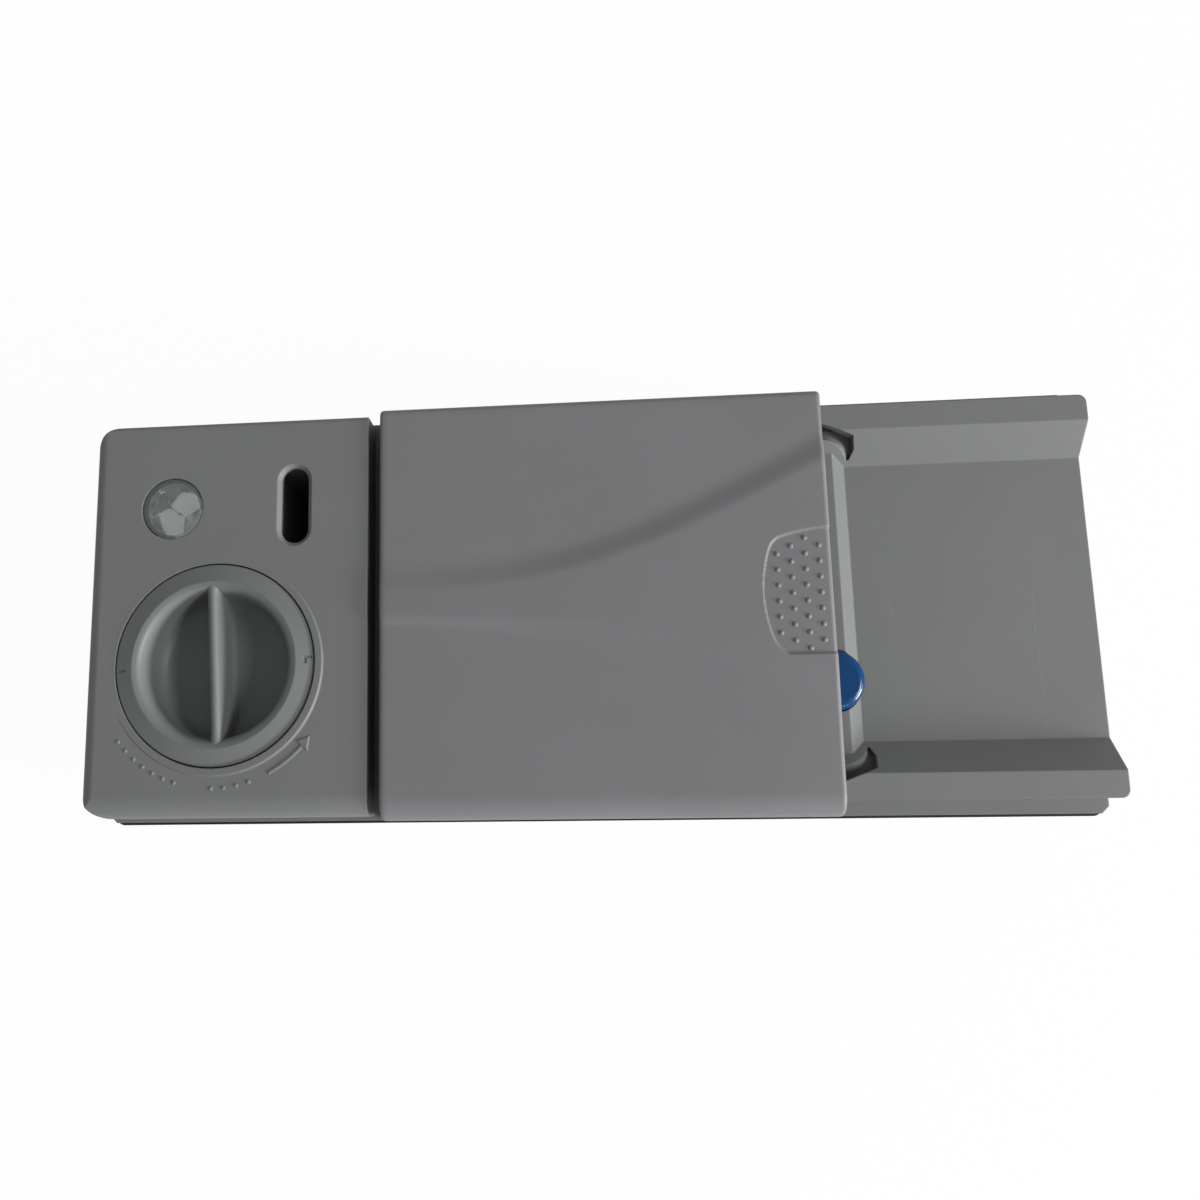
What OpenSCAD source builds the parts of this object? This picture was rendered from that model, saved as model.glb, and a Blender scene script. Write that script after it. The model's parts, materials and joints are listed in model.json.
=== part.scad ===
// Slide-lid dishwasher detergent dispenser.
// The front faces up (+Z), X runs along the length and Y across the width.
// The origin lies under the middle of the part, on the plane of its rear face.
// Left is the rinse-aid end, right is the open end of the tray.

/* [Overall] */
// Length of the front, from the rinse-aid end to the open tray end
body_l = 232; // [230:1:234]
// Height of the rinse-aid panel above the rear face
front_z = 48; // [47.5:0.5:50]
// Wall thickness of the mouldings
wall = 2; // [1.8:0.1:2.2]

/* [Rinse-aid panel] */
// Right edge of the panel, from the middle of the part
panel_x1 = -48.3; // [-48.6:0.1:-48]
// Width of the panel
panel_w = 94.5; // [94:0.1:95]
// Radius of the panel's lower long edge
panel_edge_r = 5; // [3:0.1:5.5]
// Radius of the panel's upper long edge
panel_back_r = 1.3; // [0.8:0.1:3]
// Radius of the panel's left edge
panel_end_r = 3.2; // [2:0.1:4]
// Radius of the panel's left corners in plan
panel_corner_r = 7; // [4:0.5:7]
// Depth of the panel's block down to the flange
panel_h = 10; // [10:0.5:11]

/* [Tray] */
// Width across the two rails
rail_w = 89.6; // [89:0.1:90]
// Width between the inner edges of the rails
rail_gap_w = 77.8; // [77:0.1:78.5]
// Width of the tray floor
floor_w = 63.8; // [63:0.1:64.5]
// Depth of the rails below the panel
rail_drop = 0.4; // [0.3:0.1:0.5]
// Depth of the tray floor below the panel
floor_drop = 6.9; // [6.7:0.1:7]
// Depth of the plateau round the cup below the panel
plateau_drop = 4.4; // [4.3:0.1:4.5]
// Right edge of the plateau
plateau_x1 = 60.3; // [60:0.1:60.6]

/* [Flange] */
// Width of the flange
flange_w = 96.6; // [96.5:0.1:97.2]
// Thickness of the flange
flange_t = 2; // [1.8:0.1:2.2]
// Thickness of the door gasket
gasket_t = 1.5; // [1.2:0.1:1.6]

/* [Detergent cup] */
// Left edge of the cup's mouth
cup_x0 = -37; // [-37:0.5:-35]
// Right edge of the cup's mouth
cup_x1 = 12; // [10:0.5:12]
// Width of the cup's mouth
cup_w = 57; // [54:1:57]
// Depth of the cup below the plateau
cup_depth = 22.6; // [20:0.2:23]

/* [Sliding lid] */
// Left edge of the lid
lid_x0 = -45.25; // [-45.5:0.05:-45]
// Length of the lid
lid_l = 102.6; // [102:0.1:102.8]
// Width of the lid
lid_w = 96.5; // [96.3:0.1:96.6]
// Height of the lid's top above the panel
lid_rise = 1.4; // [1.3:0.1:1.5]
// Radius of the lid's lower long edge
lid_edge_r = 5.2; // [3:0.1:5.4]
// Radius of the lid's upper long edge
lid_back_r = 1.5; // [1:0.1:2.5]
// Thickness of the lid's top
lid_t = 1.5; // [1.4:0.1:1.5]
// Travel of the lid from shut to open
lid_travel = 58; // [50:1:58]
// Height of the raised horn on the lid
horn_h = 0.95; // [0.7:0.05:1]

/* [Rinse-aid cap] */
// Middle of the cap along X
cap_x = -84.5; // [-84.8:0.1:-84.2]
// Middle of the cap along Y
cap_y = -11.8; // [-12:0.1:-11.5]
// Diameter of the cap's ring
cap_d = 47.6; // [47.2:0.1:47.8]
// Height of the cap's rim above the panel
cap_rise = 0.7; // [0:0.1:0.9]
// Width of the grip bar at its top
grip_w = 2.4; // [2:0.1:3]
// Turn of the shut cap, in degrees
cap_turn = 3; // [0:0.5:5]

/* [Level window and outlet slot] */
// Middle of the window along X
window_x = -95.9; // [-96.2:0.1:-95.6]
// Middle of the window along Y
window_y = 26.1; // [25.8:0.1:26.4]
// Diameter of the lens
window_d = 14.8; // [14.4:0.1:15]
// Middle of the slot along X
slot_x = -66; // [-66.2:0.1:-65.8]
// Middle of the slot along Y
slot_y = 26; // [25.8:0.1:26.2]
// Width of the slot
slot_w = 6.6; // [6:0.1:7]
// Length of the slot
slot_l = 18.4; // [17:0.1:18.6]

/* [Release button] */
// Middle of the button along X
button_x = 57.1; // [56.9:0.1:57.3]
// Middle of the button along Y
button_y = -18.3; // [-18.6:0.1:-18]
// Diameter of the button
button_d = 13.8; // [13.4:0.1:13.9]
// Travel of the button
button_travel = 2.6; // [2:0.1:2.6]

/* [Actuator] */
// Middle of the coil along Y
coil_y = 20; // [19.8:0.1:20.2]
// Height of the plunger's axis
drive_z = 12; // [11.9:0.1:12.1]
// Diameter of the plunger
plunger_d = 7.8; // [7.8:0.01:7.85]
// Middle of the rocker's pin along X
pivot_x = 72; // [71.9:0.1:72.1]
// Height of the rocker's pin
pivot_z = 26; // [25.9:0.1:26.1]

/* [Hidden] */
$fn = 48;

eps = 0.01;
// Clearances: running fit of a shaft, sliding gap of a moulding, touching faces
run_gap = 0.08;
slide_gap = 0.3;

// Levels
rail_z = front_z - rail_drop;
plateau_z = front_z - plateau_drop;
floor_z = front_z - floor_drop;
flange_z1 = front_z - panel_h;
flange_z0 = flange_z1 - flange_t;
lid_z1 = front_z + lid_rise;
lid_z0 = lid_z1 - lid_t;

// Ends
x0 = -body_l / 2;
x1 = body_l / 2;
flange_x0 = x0 + 3.7;
flange_x1 = x1 - 0.3;
tray_x0 = -43;
bay_x1 = 110;
bay_w = 84.8;
lid_x1 = lid_x0 + lid_l;

// Slope of the tray's sides
slope_run = (rail_gap_w - floor_w) / 2;
slope_drop = floor_drop - rail_drop;
slope_angle = atan2(slope_drop, slope_run);
plateau_w = rail_gap_w - 2 * slope_run * (plateau_drop - rail_drop) / slope_drop;

// Guide slots of the lid's runners
guide_y0 = 37.2;
guide_y1 = 40.4;
guide_x0 = -9;
neck_l = 7.5;
guide_x1 = guide_x0 + neck_l + lid_travel + 1.3;
runner_x0 = -18;
runner_x1 = 46.5;
runner_y0 = 34.4;
runner_y1 = 39.9;
runner_z0 = 33;
runner_z1 = flange_z1 + 0.4;

// Lid relief: the upper crease is one cubic curve from the left edge to the right
crease_a = [lid_x0, 6.0];
crease_b = [0, 5.8];
crease_c = [14, 13];
crease_d = [lid_x1, 34.2];
horn_stations = 24;

// Finger pad in the lid
pad_cx = 57.35;
pad_top_y = 16.1;
pad_bottom_y = -13.5;
pad_left_x = 41.9;
pad_depth = 0.6;
pad_z = lid_z1 + horn_h - pad_depth;
bump_pitch = 3.3;
bump_column = 3.1;
bump_r = 0.8;
bump_rise = 0.35;
bump_counts = [6, 7, 8, 7];

// Reservoir
tank_x0 = -108;
tank_x1 = -50;
tank_w = 84.8;
duct_x0 = -72;
duct_x1 = -52.5;
duct_y0 = 14.7;
duct_y1 = 37.3;
duct_z0 = 5;
duct_wall = 1.5;
rod_y = 27;
rod_r = 1.8;

// Cap sections
neck_outer_r = 26.1;
socket_r = 24.1;
throat_r = 22.5;
tube_outer_r = 21.2;
tube_r = 19.7;
ledge_r = 18.8;
cap_flange_h = 3.2;
cap_top = front_z + cap_rise;
cap_body_r = 18.4;
bowl_z = 38;

// Coil
coil_x0 = 83;
coil_x1 = 104.5;
coil_flange_r = 10.5;
coil_flange_t = 1.2;
spool_r = 5.2;
yoke_t = 1.6;
yoke_x0 = 81;
yoke_x1 = 106.5;
yoke_z1 = 24.6;
screw_xs = [87, 100];
screw_y = 5.5;

// Button and rocker
button_head_z0 = 41;
button_floor_z = button_head_z0 - button_travel - 2.4;
hub_r = 4.5;
lever_pin_r = 2;
drive_pin_r = 1.8;
clamp_xs = [-36, 98];
clamp_y = 36;
clamp_hole_r = 1.25;

housing_grey = [0.46, 0.47, 0.47];
lid_grey = [0.48, 0.49, 0.49];
steel_grey = [0.62, 0.63, 0.65];
white_plastic = [0.86, 0.87, 0.86];
rubber_black = [0.08, 0.08, 0.08];

// Plain shapes

module block(xa, xb, ya, yb, za, zb) {
    translate([xa, ya, za])
        cube([xb - xa, yb - ya, zb - za]);
}

module rounded_area(xa, xb, ya, yb, r) {
    translate([xa + r, ya])
        square([xb - xa - 2 * r, yb - ya]);
    translate([xa, ya + r])
        square([xb - xa, yb - ya - 2 * r]);
    for (x = [xa + r, xb - r]) {
        for (y = [ya + r, yb - r]) {
            translate([x, y])
                circle(r);
        }
    }
}

module rounded_block(xa, xb, ya, yb, r, za, zb) {
    translate([0, 0, za])
        linear_extrude(zb - za)
            rounded_area(xa, xb, ya, yb, r);
}

// A cross-section with a foot at z0 and a flat top at z1, its two top corners rounded
module crowned_area(half, z0, z1, r_front, r_back) {
    lap = 0.2;
    translate([-half + r_front, z0])
        square([2 * half - r_front - r_back, z1 - z0]);
    translate([-half, z0])
        square([r_front + lap, z1 - z0 - r_front]);
    translate([half - r_back - lap, z0])
        square([r_back + lap, z1 - z0 - r_back]);
    translate([-half + r_front, z1 - r_front])
        circle(r_front);
    translate([half - r_back, z1 - r_back])
        circle(r_back);
}

// An outline drawn in Y and Z, drawn out along X
module along_x(xa, xb) {
    translate([xa, 0, 0])
        rotate([90, 0, 90])
            linear_extrude(xb - xa)
                children();
}

// An outline drawn in X and Z, drawn out along Y
module along_y(ya, yb) {
    translate([0, yb, 0])
        rotate([90, 0, 0])
            linear_extrude(yb - ya)
                children();
}

module post(x, y, za, zb, r) {
    translate([x, y, za])
        cylinder(h = zb - za, r = r);
}

module rod_x(xa, xb, y, z, r) {
    translate([xa, y, z])
        rotate([0, 90, 0])
            cylinder(h = xb - xa, r = r);
}

module rod_y(x, ya, yb, z, r) {
    translate([x, yb, z])
        rotate([90, 0, 0])
            cylinder(h = yb - ya, r = r);
}

module both_sides() {
    children();
    mirror([0, 1, 0])
        children();
}

// A coil spring along Z, its wire swept along a helix with one ring of points per step
function helix_ring(a, r, wire_r, z, sides) = [
    for (i = [0:sides - 1])
        let (b = 360 * i / sides)
        [(r + wire_r * cos(b)) * cos(a), (r + wire_r * cos(b)) * sin(a), z + wire_r * sin(b)]
];

module coil_spring(r, wire_r, length, turns, steps = 12, sides = 6) {
    rings = turns * steps;
    rise = length - 2 * wire_r;
    points = [
        for (k = [0:rings])
            each helix_ring(360 * k / steps, r, wire_r, wire_r + rise * k / rings, sides)
    ];
    side_faces = [
        for (k = [0:rings - 1])
            for (i = [0:sides - 1])
                let (j = (i + 1) % sides, a = k * sides, b = a + sides)
                each [[a + i, b + i, b + j], [a + i, b + j, a + j]]
    ];
    first_cap = [for (i = [0:sides - 1]) i];
    last_cap = [for (i = [sides - 1:-1:0]) rings * sides + i];
    polyhedron(points, concat(side_faces, [first_cap], [last_cap]), convexity = 10);
}

// Front housing: the moulded front with its cup, rails, flange and rear walls

module panel_outer() {
    half = panel_w / 2;
    intersection() {
        rounded_block(x0, panel_x1 + 8, -half, half, panel_corner_r, flange_z1, front_z);
        along_x(x0, panel_x1)
            crowned_area(half, flange_z1, front_z, panel_edge_r, panel_back_r);
        along_y(-half, half)
            union() {
                rounded_area(x0, panel_x1 + 8, flange_z1, front_z, panel_end_r);
                translate([x0, flange_z1])
                    square([20, panel_end_r]);
            }
    }
}

// The tray's section: rails, slopes and floor, set in by a wall thickness where t > 0
module tray_section(t, foot_z, half_floor, floor_level) {
    k = t * tan(slope_angle / 2);
    half = rail_w / 2 - t;
    rail_in = rail_gap_w / 2 + k;
    polygon([
        [-half, foot_z],
        [-half, rail_z - t],
        [-rail_in, rail_z - t],
        [-half_floor - k, floor_level - t],
        [half_floor + k, floor_level - t],
        [rail_in, rail_z - t],
        [half, rail_z - t],
        [half, foot_z]
    ]);
}

module tray_outer() {
    chamfer = plateau_z - floor_z;
    end_r = 1.8;
    intersection() {
        union() {
            along_x(tray_x0, x1)
                tray_section(0, flange_z1, floor_w / 2, floor_z);
            intersection() {
                along_x(tray_x0, plateau_x1 + chamfer + 1)
                    tray_section(0, flange_z1, plateau_w / 2, plateau_z);
                along_y(-rail_w / 2, rail_w / 2)
                    polygon([
                        [tray_x0, flange_z1],
                        [tray_x0, plateau_z],
                        [plateau_x1, plateau_z],
                        [plateau_x1 + chamfer * 1.25, floor_z],
                        [plateau_x1 + chamfer * 1.25, flange_z1]
                    ]);
            }
        }
        rounded_block(tray_x0 - 8, x1, -rail_w / 2, rail_w / 2, end_r, flange_z1, front_z);
    }
}

module tray_hollow() {
    along_x(tray_x0 + wall, x1 - wall)
        tray_section(wall, flange_z1 - eps, floor_w / 2, floor_z);
    along_x(tray_x0 + wall, plateau_x1 - wall)
        tray_section(wall, flange_z1 - eps, plateau_w / 2, plateau_z);
}

module flange_plate() {
    half = flange_w / 2;
    corner = 1.6;
    translate([0, 0, flange_z0])
        linear_extrude(flange_t)
            polygon([
                [flange_x0, -half + corner],
                [flange_x0 + corner, -half],
                [flange_x1 - corner, -half],
                [flange_x1, -half + corner],
                [flange_x1, half - corner],
                [flange_x1 - corner, half],
                [flange_x0 + corner, half],
                [flange_x0, half - corner]
            ]);
}

// Cup pocket, or its outside where t > 0: two drafted sections crossed with a rounded plan
module cup_form(t, top_z) {
    draft = 1.5;
    bottom_z = plateau_z - cup_depth - t;
    bottom_r = 4 + t;
    half = cup_w / 2 + t;
    xa = cup_x0 - t;
    xb = cup_x1 + t;
    intersection() {
        rounded_block(xa, xb, -half, half, 6 + t, bottom_z, top_z);
        along_y(-half, half)
            union() {
                polygon([
                    [xa, top_z],
                    [xa + draft, bottom_z + bottom_r],
                    [xb - draft, bottom_z + bottom_r],
                    [xb, top_z]
                ]);
                rounded_area(xa + draft, xb - draft, bottom_z, bottom_z + 2 * bottom_r + 2, bottom_r);
            }
        along_x(xa, xb)
            union() {
                polygon([
                    [-half, top_z],
                    [-half + draft, bottom_z + bottom_r],
                    [half - draft, bottom_z + bottom_r],
                    [half, top_z]
                ]);
                rounded_area(-half + draft, half - draft, bottom_z, bottom_z + 2 * bottom_r + 2, bottom_r);
            }
    }
}

module seal_ring(offset_in, width, za, zb) {
    half = cup_w / 2 + offset_in;
    difference() {
        rounded_block(cup_x0 - offset_in - width, cup_x1 + offset_in + width,
            -half - width, half + width, 7.5 + width, za, zb);
        rounded_block(cup_x0 - offset_in, cup_x1 + offset_in, -half, half, 7.5, za - 1, zb + 1);
    }
}

// One guide slot: straight under the lid, then curving inwards past its edge
module guide_slot() {
    end_r = 7;
    translate([0, 0, flange_z1 - 1])
        linear_extrude(20) {
            translate([guide_x0, guide_y0])
                square([guide_x1 - guide_x0, guide_y1 - guide_y0]);
            difference() {
                polygon([
                    [guide_x1 - 0.1, guide_y1],
                    [64.7, 37.8],
                    [65.2, 35.2],
                    [64.3, 33.2],
                    [guide_x1 - 0.1, guide_y0 - 4]
                ]);
                translate([guide_x1 - 0.3, guide_y0 - end_r])
                    circle(end_r);
            }
        }
}

// Undercut along the outer wall for the lid's tongues
module tongue_groove() {
    block(tray_x0 - 1, x1 - 1, rail_w / 2 - 1, rail_w / 2 + 1, flange_z1 + 1.6, flange_z1 + 4.4);
}

module rear_walls() {
    half = bay_w / 2;
    difference() {
        rounded_block(tray_x0, bay_x1, -half, half, 3, 0, flange_z1 + eps);
        rounded_block(tray_x0 + wall, bay_x1 - wall, -half + wall, half - wall, 1.5, -1, flange_z1 + 1);
    }
}

// Hook that snaps behind the edge of the door's cut-out
module liner_lug(x) {
    lug_w = 12;
    half = bay_w / 2;
    along_lug = [x - lug_w / 2, x + lug_w / 2];
    along_x(along_lug[0], along_lug[1])
        polygon([
            [half - 0.5, 24],
            [half, 24],
            [half + 1.6, 31],
            [half + 1.6, 32],
            [half - 0.5, 32]
        ]);
}

module floor_ribs() {
    rib_t = 1.4;
    rib_z0 = floor_z - wall - 2.6;
    top = floor_z - wall + 0.5;
    for (y = [-24, -4, 4, 24]) {
        block(68, x1 - 3, y - rib_t / 2, y + rib_t / 2, rib_z0, top);
    }
    for (x = [78, 94, 106]) {
        block(x - rib_t / 2, x + rib_t / 2, -33, 33, rib_z0, top);
    }
}

module lever_bracket() {
    pad_t = 2;
    ya = 31.2;
    block(pivot_x - 5, pivot_x + 5, ya, ya + pad_t, pivot_z, floor_z - wall + 0.6);
    rod_y(pivot_x, ya, ya + pad_t, pivot_z, 5);
}

module clamp_boss(x, y) {
    side = sign(y);
    boss_r = 3.6;
    post(x, y, 10, 24, boss_r);
    block(x - 1, x + 1, min(y, side * (bay_w / 2 - 1)), max(y, side * (bay_w / 2 - 1)), 10, 24);
}

module cap_socket() {
    difference() {
        translate([cap_x, cap_y, 0])
            rotate_extrude($fn = 96)
                cap_socket_section();
        bayonet_entries();
    }
    difference() {
        block(cap_x - 5, cap_x + 5, cap_y - tube_r - 0.5, cap_y + tube_r + 0.5, 27.5, 29.5);
        post(cap_x, cap_y, 27, 30, 2.08);
    }
}

module cap_socket_section() {
    polygon([
        [ledge_r, flange_z0],
        [ledge_r, flange_z1],
        [throat_r, flange_z1],
        [throat_r, front_z - cap_flange_h - 0.4],
        [socket_r, front_z - cap_flange_h - 0.4],
        [socket_r, front_z - 1],
        [neck_outer_r, front_z - 1],
        [neck_outer_r, flange_z0],
        [tube_outer_r, flange_z0],
        [tube_outer_r, 27.5],
        [tube_r, 27.5],
        [tube_r, flange_z0]
    ]);
}

// Two gaps in the cap's ledge where its lugs go in
module bayonet_entries() {
    translate([cap_x, cap_y, flange_z0 - 1])
        rotate([0, 0, cap_turn - 90])
            for (a = [0, 180]) {
                rotate([0, 0, a])
                    intersection() {
                        cylinder(h = flange_t + 2, r = tube_r);
                        translate([0, -4.5, 0])
                            cube([30, 9, 10]);
                    }
            }
}

module outlet_duct() {
    difference() {
        rounded_block(duct_x0, duct_x1, duct_y0, duct_y1, 2, duct_z0, front_z - 1);
        rounded_block(duct_x0 + duct_wall, duct_x1 - duct_wall, duct_y0 + duct_wall,
            duct_y1 - duct_wall, 1, duct_z0 + duct_wall, front_z - wall + eps);
        rod_x(duct_x0 - 1, duct_x0 + 3, rod_y, drive_z, 2.5);
        rod_x(duct_x1 - 3, duct_x1 + 1, rod_y, drive_z, rod_r + run_gap);
    }
}

module slot_area() {
    half = slot_l / 2;
    w = slot_w / 2;
    rounded_area(slot_x - w, slot_x + w, slot_y - half, slot_y + half, w - 0.01);
}

// Chamfer round the slot's mouth: a cone at each end and a wedge between them
module slot_chamfer() {
    chamfer = 0.9;
    over = 0.1;
    foot = slot_w / 2 - 0.02;
    mouth = slot_w / 2 + chamfer + over;
    end_y = (slot_l - slot_w) / 2;
    for (s = [-1, 1]) {
        translate([slot_x, slot_y + s * end_y, front_z - chamfer])
            cylinder(h = chamfer + over, r1 = foot, r2 = mouth - 0.02);
    }
    along_y(slot_y - end_y, slot_y + end_y)
        polygon([
            [slot_x - foot, front_z - chamfer],
            [slot_x + foot, front_z - chamfer],
            [slot_x + mouth, front_z + over],
            [slot_x - mouth, front_z + over]
        ]);
}

// Low lip round the cap: it stands out at the lower right and dips into the panel at the upper left
module cap_lip() {
    lip_r = 25.8;
    lip_h = 0.12;
    lip_tilt = 0.75;
    sink = 0.9;
    translate([cap_x, cap_y, front_z])
        rotate([0, 0, -45])
            rotate([0, -lip_tilt, 0])
                translate([0, 0, -sink])
                    cylinder(h = sink + lip_h, r1 = lip_r + sink, r2 = lip_r - lip_h, $fn = 96);
}

module button_guide_outer() {
    post(button_x, button_y, 33, floor_z - 1, button_d / 2 + 2);
}

module button_guide_bore() {
    bore_r = button_d / 2 + 0.25;
    post(button_x, button_y, button_floor_z, front_z, bore_r);
    post(button_x, button_y, 32, 37, 3 + run_gap);
}

module front_housing() {
    half = bay_w / 2;
    color(housing_grey) {
        cap_socket();
        difference() {
            union() {
                difference() {
                    union() {
                        panel_outer();
                        tray_outer();
                        flange_plate();
                        cap_lip();
                    }
                    rounded_block(x0 + 2.5, panel_x1 - 2.5, -panel_w / 2 + 2.5,
                        panel_w / 2 - 2.5, panel_corner_r - 2.5, flange_z1 + wall, front_z - wall);
                    rounded_block(tank_x0 + wall, tank_x1 - wall, -tank_w / 2 + wall,
                        tank_w / 2 - wall, 4, flange_z0 - 1, flange_z1 + wall + 0.5);
                    tray_hollow();
                    rounded_block(tray_x0 + wall, bay_x1 - wall, -half + wall, half - wall, 1.5,
                        flange_z0 - 1, flange_z1 + 1);
                }
                cup_form(wall, plateau_z - 0.5);
                seal_ring(0.8, 3.6, plateau_z - 4, plateau_z - 0.5);
                rear_walls();
                for (x = [-30, 30, 90]) {
                    both_sides()
                        liner_lug(x);
                }
                floor_ribs();
                lever_bracket();
                for (x = clamp_xs) {
                    clamp_boss(x, clamp_y);
                    clamp_boss(x, -clamp_y);
                }
                for (x = screw_xs) {
                    post(x, screw_y, yoke_z1, floor_z - wall + 0.5, 3.5);
                }
                outlet_duct();
                button_guide_outer();
                post(104.5, 37.2, 28.6, 32.4, 1.2);
                block(104.5, bay_x1 - 1, 36.6, 37.8, 28.6, 29.8);
            }
            post(cap_x, cap_y, flange_z0 - 1, front_z + 1, socket_r);
            cup_form(0, front_z);
            seal_ring(1.3, 2, plateau_z - 1.5, plateau_z + 1);
            both_sides()
                guide_slot();
            both_sides()
                tongue_groove();
            post(window_x, window_y, front_z - 1.8, front_z + 1, window_d / 2 + 0.15);
            post(window_x, window_y, front_z - 3, front_z + 1, window_d / 2 - 0.8);
            translate([0, 0, front_z - 3])
                linear_extrude(4)
                    slot_area();
            slot_chamfer();
            button_guide_bore();
            rod_x(tray_x0 - 1, tray_x0 + 3, rod_y, drive_z, 2.6);
            rod_y(pivot_x, -half - 1, -half + 3, pivot_z, lever_pin_r);
            rod_y(pivot_x, 31, 34, pivot_z, lever_pin_r);
            for (x = clamp_xs) {
                post(x, clamp_y, 9, 22, clamp_hole_r);
                post(x, -clamp_y, 9, 22, clamp_hole_r);
            }
            for (x = screw_xs) {
                post(x, screw_y, 20, 34, 1.1);
            }
        }
    }
}

// Lid group

function bezier(a, b, c, d, t) =
    pow(1 - t, 3) * a + 3 * pow(1 - t, 2) * t * b + 3 * (1 - t) * t * t * c + t * t * t * d;

function upper_crease(t) = bezier(crease_a, crease_b, crease_c, crease_d, t);

// The lower side of the horn fades: its foot runs away from its crest towards the right
function lower_crest(t) = -1.2 - 5 * t;

function lower_foot(t) = -4.6 - 38 * t * t;

function horn_height(t) = horn_h * (0.55 + 0.45 * sin(90 * min(1, 2 * t)));

// Share of the horn's height across its upper flank, by distance from the crease
flank_steps = [[-2.4, 1], [-1.2, 0.86], [0, 0.6], [1.5, 0.3], [3, 0.1], [5, 0]];
horn_low = -1.2;
horn_foot = 0.02;

function horn_ring(t) =
    let (
        p = upper_crease(t),
        h = horn_height(t),
        crest = lower_crest(t),
        foot = lower_foot(t)
    )
    concat(
        [
            [p[0], foot, horn_low],
            [p[0], foot, horn_foot],
            [p[0], (crest + foot) / 2, h * 0.5],
            [p[0], crest, h]
        ],
        [for (s = flank_steps) [p[0], p[1] + s[0], max(horn_foot, h * s[1])]],
        [[p[0], p[1] + flank_steps[5][0], horn_low]]
    );

module horn() {
    sides = 5 + len(flank_steps);
    end_r = 1;
    points = [for (k = [0:horn_stations]) each horn_ring(k / horn_stations)];
    side_faces = [
        for (k = [0:horn_stations - 1])
            for (i = [0:sides - 1])
                let (j = (i + 1) % sides, a = k * sides, b = a + sides)
                each [[a + i, a + j, b + j], [a + i, b + j, b + i]]
    ];
    first_cap = [for (i = [sides - 1:-1:0]) i];
    last_cap = [for (i = [0:sides - 1]) horn_stations * sides + i];
    intersection() {
        translate([0, 0, lid_z1])
            polyhedron(points, concat(side_faces, [first_cap], [last_cap]), convexity = 4);
        along_y(-lid_w / 2, lid_w / 2)
            rounded_area(lid_x0, lid_x1, lid_z1 - 8, lid_z1 + horn_h + 0.05, end_r);
    }
}

// D-shaped finger pad, open towards the lid's right edge
module pad_area() {
    mid = (pad_top_y + pad_bottom_y) / 2;
    half = (pad_top_y - pad_bottom_y) / 2;
    intersection() {
        rounded_area(pad_left_x, pad_cx + 20, mid - half, mid + half, 6);
        translate([pad_left_x + 34, 4])
            circle(34, $fn = 96);
        translate([pad_cx + 1, pad_top_y - 45])
            circle(45, $fn = 96);
    }
}

module pad_bumps() {
    for (c = [0:len(bump_counts) - 1]) {
        n = bump_counts[c];
        for (i = [0:n - 1]) {
            x = 44.9 + c * bump_column;
            y = 1.2 + (i - (n - 1) / 2) * bump_pitch;
            translate([x, y, pad_z + bump_rise - bump_r])
                sphere(bump_r, $fn = 16);
        }
    }
}

module lid_shell() {
    half = lid_w / 2;
    skirt_t = 1.8;
    skirt_z0 = flange_z1 + 0.4;
    intersection() {
        difference() {
            along_x(lid_x0, lid_x1)
                crowned_area(half, skirt_z0, lid_z1, lid_edge_r, lid_back_r);
            along_x(lid_x0 - 1, lid_x1 + 1)
                crowned_area(half - skirt_t, skirt_z0 - 1, lid_z0, 2.2, 0.5);
        }
        rounded_block(lid_x0, lid_x1, -half, half, 1.5, skirt_z0 - 1, lid_z1 + 1);
        along_y(-half, half)
            rounded_area(lid_x0, lid_x1, skirt_z0 - 8, lid_z1, 1);
    }
}

module sliding_lid() {
    color(lid_grey)
        difference() {
            union() {
                lid_shell();
                horn();
                both_sides()
                    for (x = [-40, -4, 42]) {
                        block(x, x + 12, rail_w / 2 - 0.8, lid_w / 2 - 1, flange_z1 + 2,
                            flange_z1 + 4);
                    }
            }
            difference() {
                translate([0, 0, pad_z])
                    linear_extrude(3)
                        pad_area();
                pad_bumps();
            }
            block(lid_x1, lid_x1 + 20, -60, 60, 0, 60);
        }
}

module lid_carrier() {
    xa = cup_x0 - 4.5;
    xb = 49;
    half = 33;
    carrier_z0 = lid_z0 - 1.6;
    color(lid_grey)
        difference() {
            rounded_block(xa, xb, -half, half, 6, carrier_z0, lid_z0);
            for (s = [-1, 1]) {
                rounded_block(cup_x1 + 8, xb - 5, min(s * 3, s * (half - 5)),
                    max(s * 3, s * (half - 5)), 3, carrier_z0 - 1, lid_z0 + 1);
            }
        }
}

// Slide shoe of the lid: its neck goes up through the guide slot to the lid
module runner() {
    block(runner_x0, runner_x1, runner_y0, runner_y1, runner_z0, runner_z1);
    block(guide_x0 + 0.8, guide_x0 + 0.8 + neck_l, guide_y0 + 0.3, guide_y1 - 0.5,
        runner_z1 - 1, lid_z0);
}

module runner_lightening() {
    for (x = [2, 14, 26]) {
        block(x, x + 9, runner_y0 + 1.4, runner_y1 - 1.4, runner_z0 - 1, runner_z1 - 1.4);
    }
}

module spring_runner() {
    color(white_plastic) {
        difference() {
            runner();
            runner_lightening();
        }
        post(runner_x0 + 4, 37.2, 28.6, runner_z0 + 0.5, 1.2);
    }
}

module latch_runner() {
    color(white_plastic)
        mirror([0, 1, 0])
            difference() {
                runner();
                runner_lightening();
            }
}

module cup_seal() {
    lip_z = lid_z0 - 1.6 - slide_gap;
    color(rubber_black)
        union() {
            seal_ring(1.3, 2, plateau_z - 1.5, plateau_z + 0.8);
            seal_ring(1.8, 1, plateau_z, lip_z);
        }
}

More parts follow.
